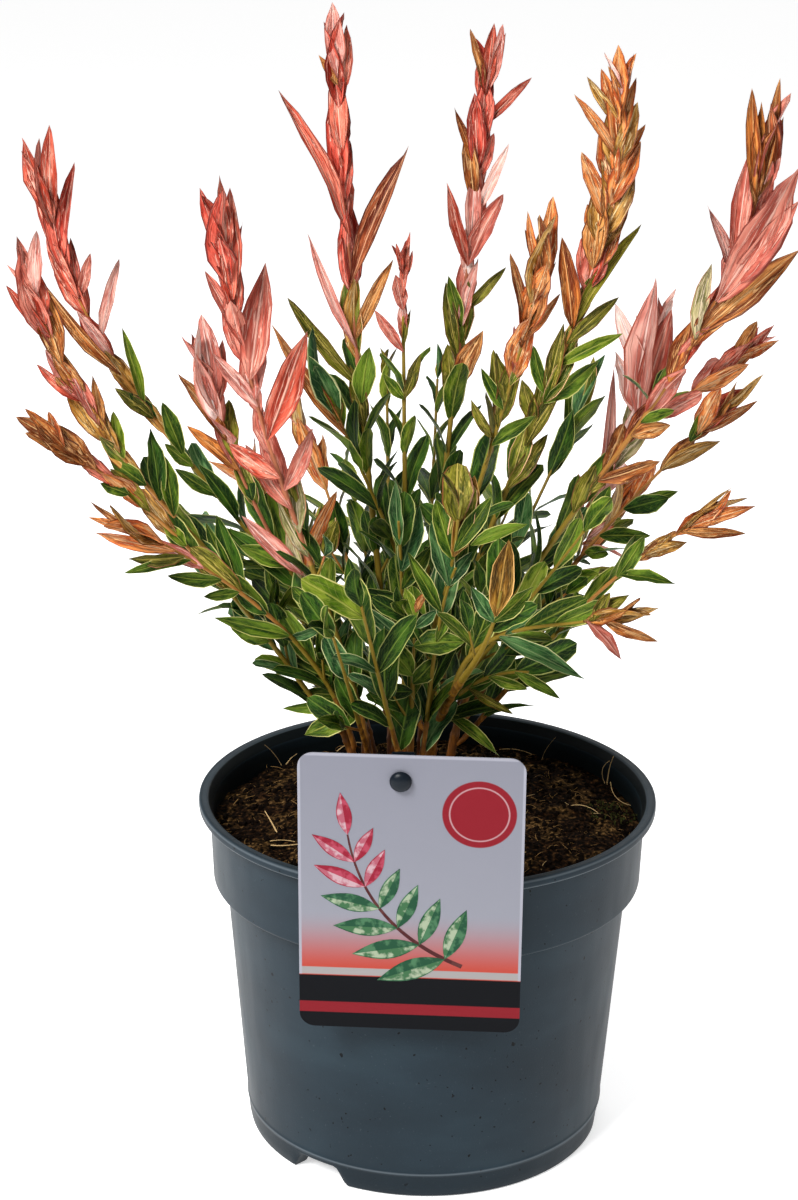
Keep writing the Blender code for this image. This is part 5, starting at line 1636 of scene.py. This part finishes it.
# Where a shoot starts to turn and is fully tinted, as shares of its length, its three mixtures, the
# tone of its upper wood, and from which share on its tip leaves are dealt from the third mixture
Look = namedtuple("Look", "turns_at tinted_at turning tinted tip wood tip_at", defaults=(0.8,))
LOOKS = {
    "left_back": Look(0.62, 0.72, "olive", "coral", "coral", "tan"),
    "left": Look(0.60, 0.70, "olive", "bronze", "salmon", "tan"),
    "left_front": Look(0.50, 0.56, "turning", "salmon", "crimson", "blush"),
    "back_left": Look(0.56, 0.63, "olive", "coral", "crimson", "blush"),
    "centre": Look(0.70, 0.80, "turning", "salmon", "coral", "olive"),
    "back": Look(0.57, 0.64, "turning", "rose", "crimson", "blush"),
    "right_middle": Look(0.60, 0.70, "olive", "orange", "orange", "olive"),
    "right_back": Look(0.60, 0.70, "turning", "gold", "orange", "tan"),
    "right": Look(0.50, 0.58, "brown", "salmon", "brown", "tan", 0.93),
    "front_right": Look(0.82, 0.90, "green", "green", "olive", "olive"),
    "front": Look(0.85, 0.93, "green", "green", "olive", "olive"),
    "far_back": Look(0.78, 0.92, "green", "turning", "olive", "olive"),
    "left_low": Look(0.58, 0.68, "olive", "bronze", "brown", "tan"),
    "left_lowest": Look(0.50, 0.62, "turning", "orange", "orange", "tan"),
    "left_inner": Look(0.70, 0.90, "green", "turning", "orange", "olive"),
    "left_middle": Look(0.56, 0.64, "olive", "salmon", "rose", "blush"),
    "back_left_inner": Look(0.70, 0.95, "green", "olive", "olive", "olive"),
    "back_left_low": Look(0.50, 0.66, "turning", "orange", "coral", "tan"),
    "centre_front": Look(0.85, 0.95, "green", "green", "turning", "olive"),
    "front_middle": Look(0.85, 0.95, "green", "green", "olive", "olive"),
    "front_right_long": Look(0.40, 0.66, "turning", "gold", "bronze", "olive"),
    "right_middle_inner": Look(0.72, 0.88, "turning", "turning", "olive", "olive"),
    "right_back_pale": Look(0.46, 0.54, "pale", "rose", "rose", "blush"),
    "right_back_low": Look(0.50, 0.66, "turning", "orange", "bronze", "tan"),
    "right_outer": Look(0.48, 0.58, "olive", "bronze", "bronze", "tan"),
    "right_lowest": Look(0.52, 0.62, "turning", "orange", "orange", "tan"),
    "back_upright": Look(0.76, 0.92, "green", "turning", "olive", "olive"),
    "back_right": Look(0.62, 0.84, "green", "turning", "olive", "olive"),
    "far_back_left": Look(0.50, 0.66, "turning", "orange", "coral", "tan"),
}
all_green = Look(0.85, 0.95, "green", "green", "green", "olive")
late_turning = Look(0.80, 0.92, "green", "turning", "olive", "olive")
LOOKS |= dict.fromkeys(("left_front_low", "front_left", "front_right_low"), all_green)
LOOKS |= dict.fromkeys(("left_skirt", "right_middle_front", "back_right_low", "far_back_low"), late_turning)

MIDDLE_OF_LEAF = 0.04
SHADY_RADIUS = 0.042
SHADY_BEHIND = -0.022
SHARE_VARIATION = 0.03
BARK_ABOVE_SOIL = 0.055
dealt = {livery: [] for livery in LIVERIES}
for mass, leaves in foliage.items():
    look = LOOKS[mass.removeprefix("shoot_")]
    rng = random.Random("colours of " + mass)
    for leaf in leaves:
        place = leaf.share + MIDDLE_OF_LEAF + rng.uniform(-SHARE_VARIATION, SHARE_VARIATION)
        if place < look.turns_at:
            x, y, _ = leaf.root
            mixture = "shady" if math.hypot(x, y) < SHADY_RADIUS and y > SHADY_BEHIND else "green"
        elif place < look.tinted_at:
            mixture = look.turning
        else:
            mixture = look.tip if leaf.kind == 2 and place > look.tip_at else look.tinted
        dealt[leaf.livery or rng.choice(MIXTURES[mixture].split())].append((mass, leaf))
print({livery: len(leaves) for livery, leaves in dealt.items()})

shoot_nodes = [node for node in NODES if node.startswith("shoot_")]
BARK_TOP = SOIL_LEVEL + BARK_ABOVE_SOIL
tone_numbers = {tone: k for k, tone in enumerate(WOOD_TONES)}
mass_of = {id(part): mass for mass, parts in twigs.items() for part in parts}


def shoot_tone(part, t):
    """The tone of a shoot's wood: bark near the compost, then olive, and the look's own at the tip."""
    look = LOOKS[mass_of[id(part)].removeprefix("shoot_")]
    if part.path.at(part.start + (part.end - part.start) * t)[0][2] < BARK_TOP:
        return tone_numbers["bark"]
    share = part.share_from + (part.share_to - part.share_from) * t
    return tone_numbers["olive" if share < look.turns_at else look.wood]


shoot_parts = [part for parts in twigs.values() for part in parts]
lines = wood_lines("shoot_lines", shoot_parts, SHOOT_STEP, shoot_tone)
shoot_shape = {"Sides": 8, "Relief": 0.00015, "Ridge_Scale": 500.0}
shoot_piece = grow("shoots_and_twigs", lines, wood_tree, **shoot_shape, **wood)
bpy.data.objects.remove(lines)
hand_in(shoot_piece, "bark", *shoot_nodes)

# %% [markdown]
# A willow leaf is a long pointed blade, folded a little along its rib. Low on a shoot it arches
# outwards and lies open, higher up it is narrower, and in the tip it is cupped round the shoot. Two
# more kinds are for the leaves that stand out, as slim wings and as broad blades. A handful of forms
# of each kind is enough when every leaf also has its own size and turn. A form is a grid of 48
# faces, one wide and one long, with a map for its veins and a number that marks its pale edge.

# %% Shape the leaf forms
ROWS = (0.0, 0.06, 0.17, 0.32, 0.49, 0.66, 0.81, 0.93)
COLUMNS = (-1.0, -0.91, -0.45, 0.0, 0.45, 0.91, 1.0)
STRIP_PARTS = (1, 0, 0, 0, 0, 1)
FORMS_OF_A_KIND = 5

# How full the leaf is towards its root and its tip, how deep its cup, how far it arches out at the
# tip, how far it bows in at the middle, and how much its edges wave: shares of its length
Form = namedtuple("Form", "root_fullness tip_fullness cup arch bow wave")
KINDS = (
    Form(0.60, 0.48, 0.035, 0.10, 0.03, 0.008),
    Form(0.80, 0.92, 0.055, 0.05, 0.05, 0.012),
    Form(0.80, 0.86, 0.085, 0.00, 0.05, 0.012),
    Form(0.85, 1.00, 0.060, -0.02, 0.07, 0.020),
    Form(0.80, 0.95, 0.060, -0.02, 0.06, 0.016),
)
SWAY = 0.10
OUTSTANDING_SWAY = 0.16
NARROWEST = 0.10
UNEVEN_EDGE = 0.08


def leaf_form(name, form, rng):
    """A leaf of width one and length one along Y, with its upper side up."""
    root_full, tip_full = (varied(rng, full, 0.10) for full in (form.root_fullness, form.tip_fullness))
    cup, arch = varied(rng, form.cup, 0.3), form.arch + rng.uniform(-0.04, 0.04)
    most = OUTSTANDING_SWAY if form in KINDS[WING:] else SWAY
    twist, sway = rng.uniform(-0.05, 0.05), rng.uniform(-most, most)
    peak = root_full / (root_full + tip_full)
    fullest = peak**root_full * (1 - peak) ** tip_full
    phase = rng.uniform(0, math.tau)

    def place(column, row):
        wide = max(row**root_full * (1 - row) ** tip_full / fullest, NARROWEST * (1 - row))
        edge = column * (1 + UNEVEN_EDGE * math.sin(11 * row + phase + 2 * math.copysign(1, column)))
        ripple = form.wave * math.sin(7 * row * math.pi + phase) * abs(column) ** 2
        fold = cup * abs(column) ** 1.3 * wide
        spine = form.bow * math.sin(math.pi * min(row * 1.15, 1.0)) - arch * row**2.2
        across = 0.5 * wide * edge + sway * row * row
        return (across, row, spine + fold + ripple + twist * column * row)

    points = [place(column, row) for row in ROWS for column in COLUMNS]
    points.append(place(0.0, 1.0))
    wide = len(COLUMNS)
    faces, parts = [], []
    for row in range(len(ROWS)):
        for strip, part in enumerate(STRIP_PARTS):
            low = row * wide + strip
            beyond = (low + 1 + wide, low + wide) if row < len(ROWS) - 1 else (len(points) - 1,)
            faces.append((low, low + 1, *beyond))
            parts.append(part)
    made = new_object(name, points, faces)
    layer = made.data.attributes.new("part", "INT", "FACE")
    layer.data.foreach_set("value", parts)
    spots = [(column, row) for row in ROWS for column in COLUMNS] + [(0.0, 1.0)]
    leaf_map = made.data.uv_layers.new(name="leaf")
    for corner in made.data.loops:
        column, row = spots[corner.vertex_index]
        leaf_map.data[corner.index].uv = (0.5 + column / 2, row)
    return made


rng = random.Random("leaf forms")
leaf_forms = []
for kind, form in enumerate(KINDS):
    leaf_forms += [leaf_form(f"form_{kind}_{k}", form, rng) for k in range(FORMS_OF_A_KIND)]
form_shapes = shape_collection("leaf forms", leaf_forms)

# %% [markdown]
# The leaves are set on with Geometry Nodes. Python has only worked out a point for each leaf, with
# the way it points, its upper side, its size and which form it takes. The tree turns a form to those
# two directions, scales it, makes it real and paints its blade and edge. It runs once for each
# livery. The skin is drawn on the leaf's own map: clouds and streaks along it, creases, a pale rib
# and slanting veins, which are also raised a little. The pale streaks are partly painted highlight
# on the leaf's wrinkles, and the dark creases are painted shade. A number dealt to each leaf shifts
# the clouds.

# %% Set the leaves on the shoots
LEAF_PARTS = ("Blade", "Edge")
parts_in = dict.fromkeys(LEAF_PARTS, "Material")
leaf_tree, given = new_tree("a leaf on every bud", Forms="Collection", Size="Float", **parts_in)
axes = {0: stored(leaf_tree, "along", "FLOAT_VECTOR"), 1: stored(leaf_tree, "up", "FLOAT_VECTOR")}
turned_to = add(leaf_tree, "FunctionNodeAxesToRotation", axes, primary_axis="Y", secondary_axis="Z")
own_size = {0: stored(leaf_tree, "size", "FLOAT_VECTOR"), "Scale": given["Size"]}
sized = add(leaf_tree, "ShaderNodeVectorMath", own_size, operation="SCALE")
form_number = stored(leaf_tree, "form", "INT")
hanging = {"Instance Index": form_number, "Rotation": turned_to.outputs[0], "Scale": sized.outputs[0]}
geometry = instanced(leaf_tree, given["Geometry"], given["Forms"], hanging)
part_stored = stored(leaf_tree, "part", "INT")
for k, part in enumerate(LEAF_PARTS):
    geometry = painted_where(leaf_tree, geometry, part_stored, k, given[part])
deliver(leaf_tree, geometry)

# How strongly the veins, and the streaks and creases, show, for the liveries that are less creased
# than the rest. The pale streaks are partly painted highlight, and the dark creases are painted shade
CREASED = dict.fromkeys(("deep", "green", "fresh", "grey"), (0.20, 0.28))
CREASED |= {"amber": (0.10, 0.50), "salmon": (0.06, 0.55), "rose": (0.06, 0.55), "blush": (0.04, 0.40)}
MOST_CREASED = (0.08, 0.80)
RIB_STRENGTH = 0.80
VEINS = 9.0
VEIN_SLANT = 0.26
DEAL_STEP = 40.0
DEAL_SHADE = 0.16
SKIN_RELIEF = 0.00050


def blade_finish(name, livery, vein_strength, streak_and_crease_shade_strength):
    """A leaf's skin on its own map: uneven shade, streaks along it that are partly painted highlight, creases
    of painted shade, a pale rib and slanting veins.
    """
    made, tree, shader = finish("leaf " + name, livery.blade, 0.46, 0.12)
    leaf_map = add(tree, "ShaderNodeUVMap", uv_map="leaf").outputs[0]
    deal = add(tree, "ShaderNodeAttribute", attribute_name="deal").outputs["Fac"]
    split = add(tree, "ShaderNodeSeparateXYZ", {0: leaf_map}).outputs
    apart = product(tree, distance_from(tree, split[0], 0.5), 2.0)
    own_place = {0: split[0], 1: split[1], 2: product(tree, deal, DEAL_STEP)}
    place = add(tree, "ShaderNodeCombineXYZ", own_place).outputs[0]

    def grain(across, along, detail, distortion):
        drawn_out = scaled(tree, place, (across, along, 1.0))
        values = {"Vector": drawn_out, "Scale": 1.0, "Detail": detail, "Distortion": distortion}
        return add(tree, "ShaderNodeTexNoise", values).outputs[0]

    def plus(first, second):
        return maths(tree, "ADD", first, second)

    lighter = product(tree, maths(tree, "SUBTRACT", deal, 0.5), DEAL_SHADE)
    cloudy = plus(grain(3.2, 2.6, 3.0, 0.3), lighter)
    skin = ramp(tree, cloudy, (0.38, livery.shade), (0.50, livery.blade), (0.62, livery.light))
    # Pale streaks along the leaf: partly its own streaks, partly painted highlight on its wrinkles
    streaks = distance_from(tree, grain(7.0, 1.5, 2.0, 0.6), 0.5)
    streaks_and_painted_highlight = ranged(tree, streaks, 0.010, 0.032, streak_and_crease_shade_strength, 0.0)
    slanted = maths(tree, "SUBTRACT", split[1], product(tree, apart, VEIN_SLANT))
    wavy = plus(product(tree, slanted, VEINS), product(tree, cloudy, 1.6))
    veins = distance_from(tree, maths(tree, "FRACT", wavy), 0.5)
    veined = ranged(tree, veins, 0.03, 0.12, vein_strength, 0.0)
    ribbed = ranged(tree, apart, 0.03, 0.11, RIB_STRENGTH, 0.0)
    lines = maths(tree, "MAXIMUM", maths(tree, "MAXIMUM", streaks_and_painted_highlight, veined), ribbed)
    # Dark lines towards the shade colour: painted shade in the leaf's creases
    creases = distance_from(tree, grain(5.5, 1.3, 2.0, 0.9), 0.47)
    painted_crease_shade = ranged(tree, creases, 0.008, 0.034, streak_and_crease_shade_strength, 0.0)
    paint(tree, shader, mixed(tree, lines, mixed(tree, painted_crease_shade, skin, livery.shade), livery.vein))
    folds = maths(tree, "SUBTRACT", plus(lines, product(tree, cloudy, 2.0)), painted_crease_shade)
    relief(tree, shader, folds, SKIN_RELIEF)
    return made


blades, edges = {}, {}
for name, livery in LIVERIES.items():
    blades[name] = blade_finish(name, livery, *CREASED.get(name, MOST_CREASED))
    edges[name], tree, shader = finish("edge of " + name, livery.edge, 0.5, 0.3)
    relief(tree, shader, object_noise(tree, 900.0, 3.0), 0.0002)

for livery, leaves in dealt.items():
    if not leaves:
        continue
    rng = random.Random("forms of " + livery)
    buds = new_object("buds", [leaf.root for _, leaf in leaves], [], smooth=False)
    give(buds.data, "along", "FLOAT_VECTOR", [leaf.along for _, leaf in leaves])
    give(buds.data, "up", "FLOAT_VECTOR", [leaf.up for _, leaf in leaves])
    give(buds.data, "size", "FLOAT_VECTOR", [(leaf.width, leaf.length, leaf.length) for _, leaf in leaves])
    picked = [leaf.kind * FORMS_OF_A_KIND + rng.randrange(FORMS_OF_A_KIND) for _, leaf in leaves]
    give(buds.data, "form", "INT", picked)
    give(buds.data, "deal", "FLOAT", [rng.random() for _ in leaves])
    finishes = {"Blade": blades[livery], "Edge": edges[livery]}
    piece = grow(livery + "_leaves", buds, leaf_tree, Forms=form_shapes, Size=1.0, **finishes)
    bpy.data.objects.remove(buds)
    hand_in(piece, "leaf", *sorted({mass for mass, _ in leaves}))
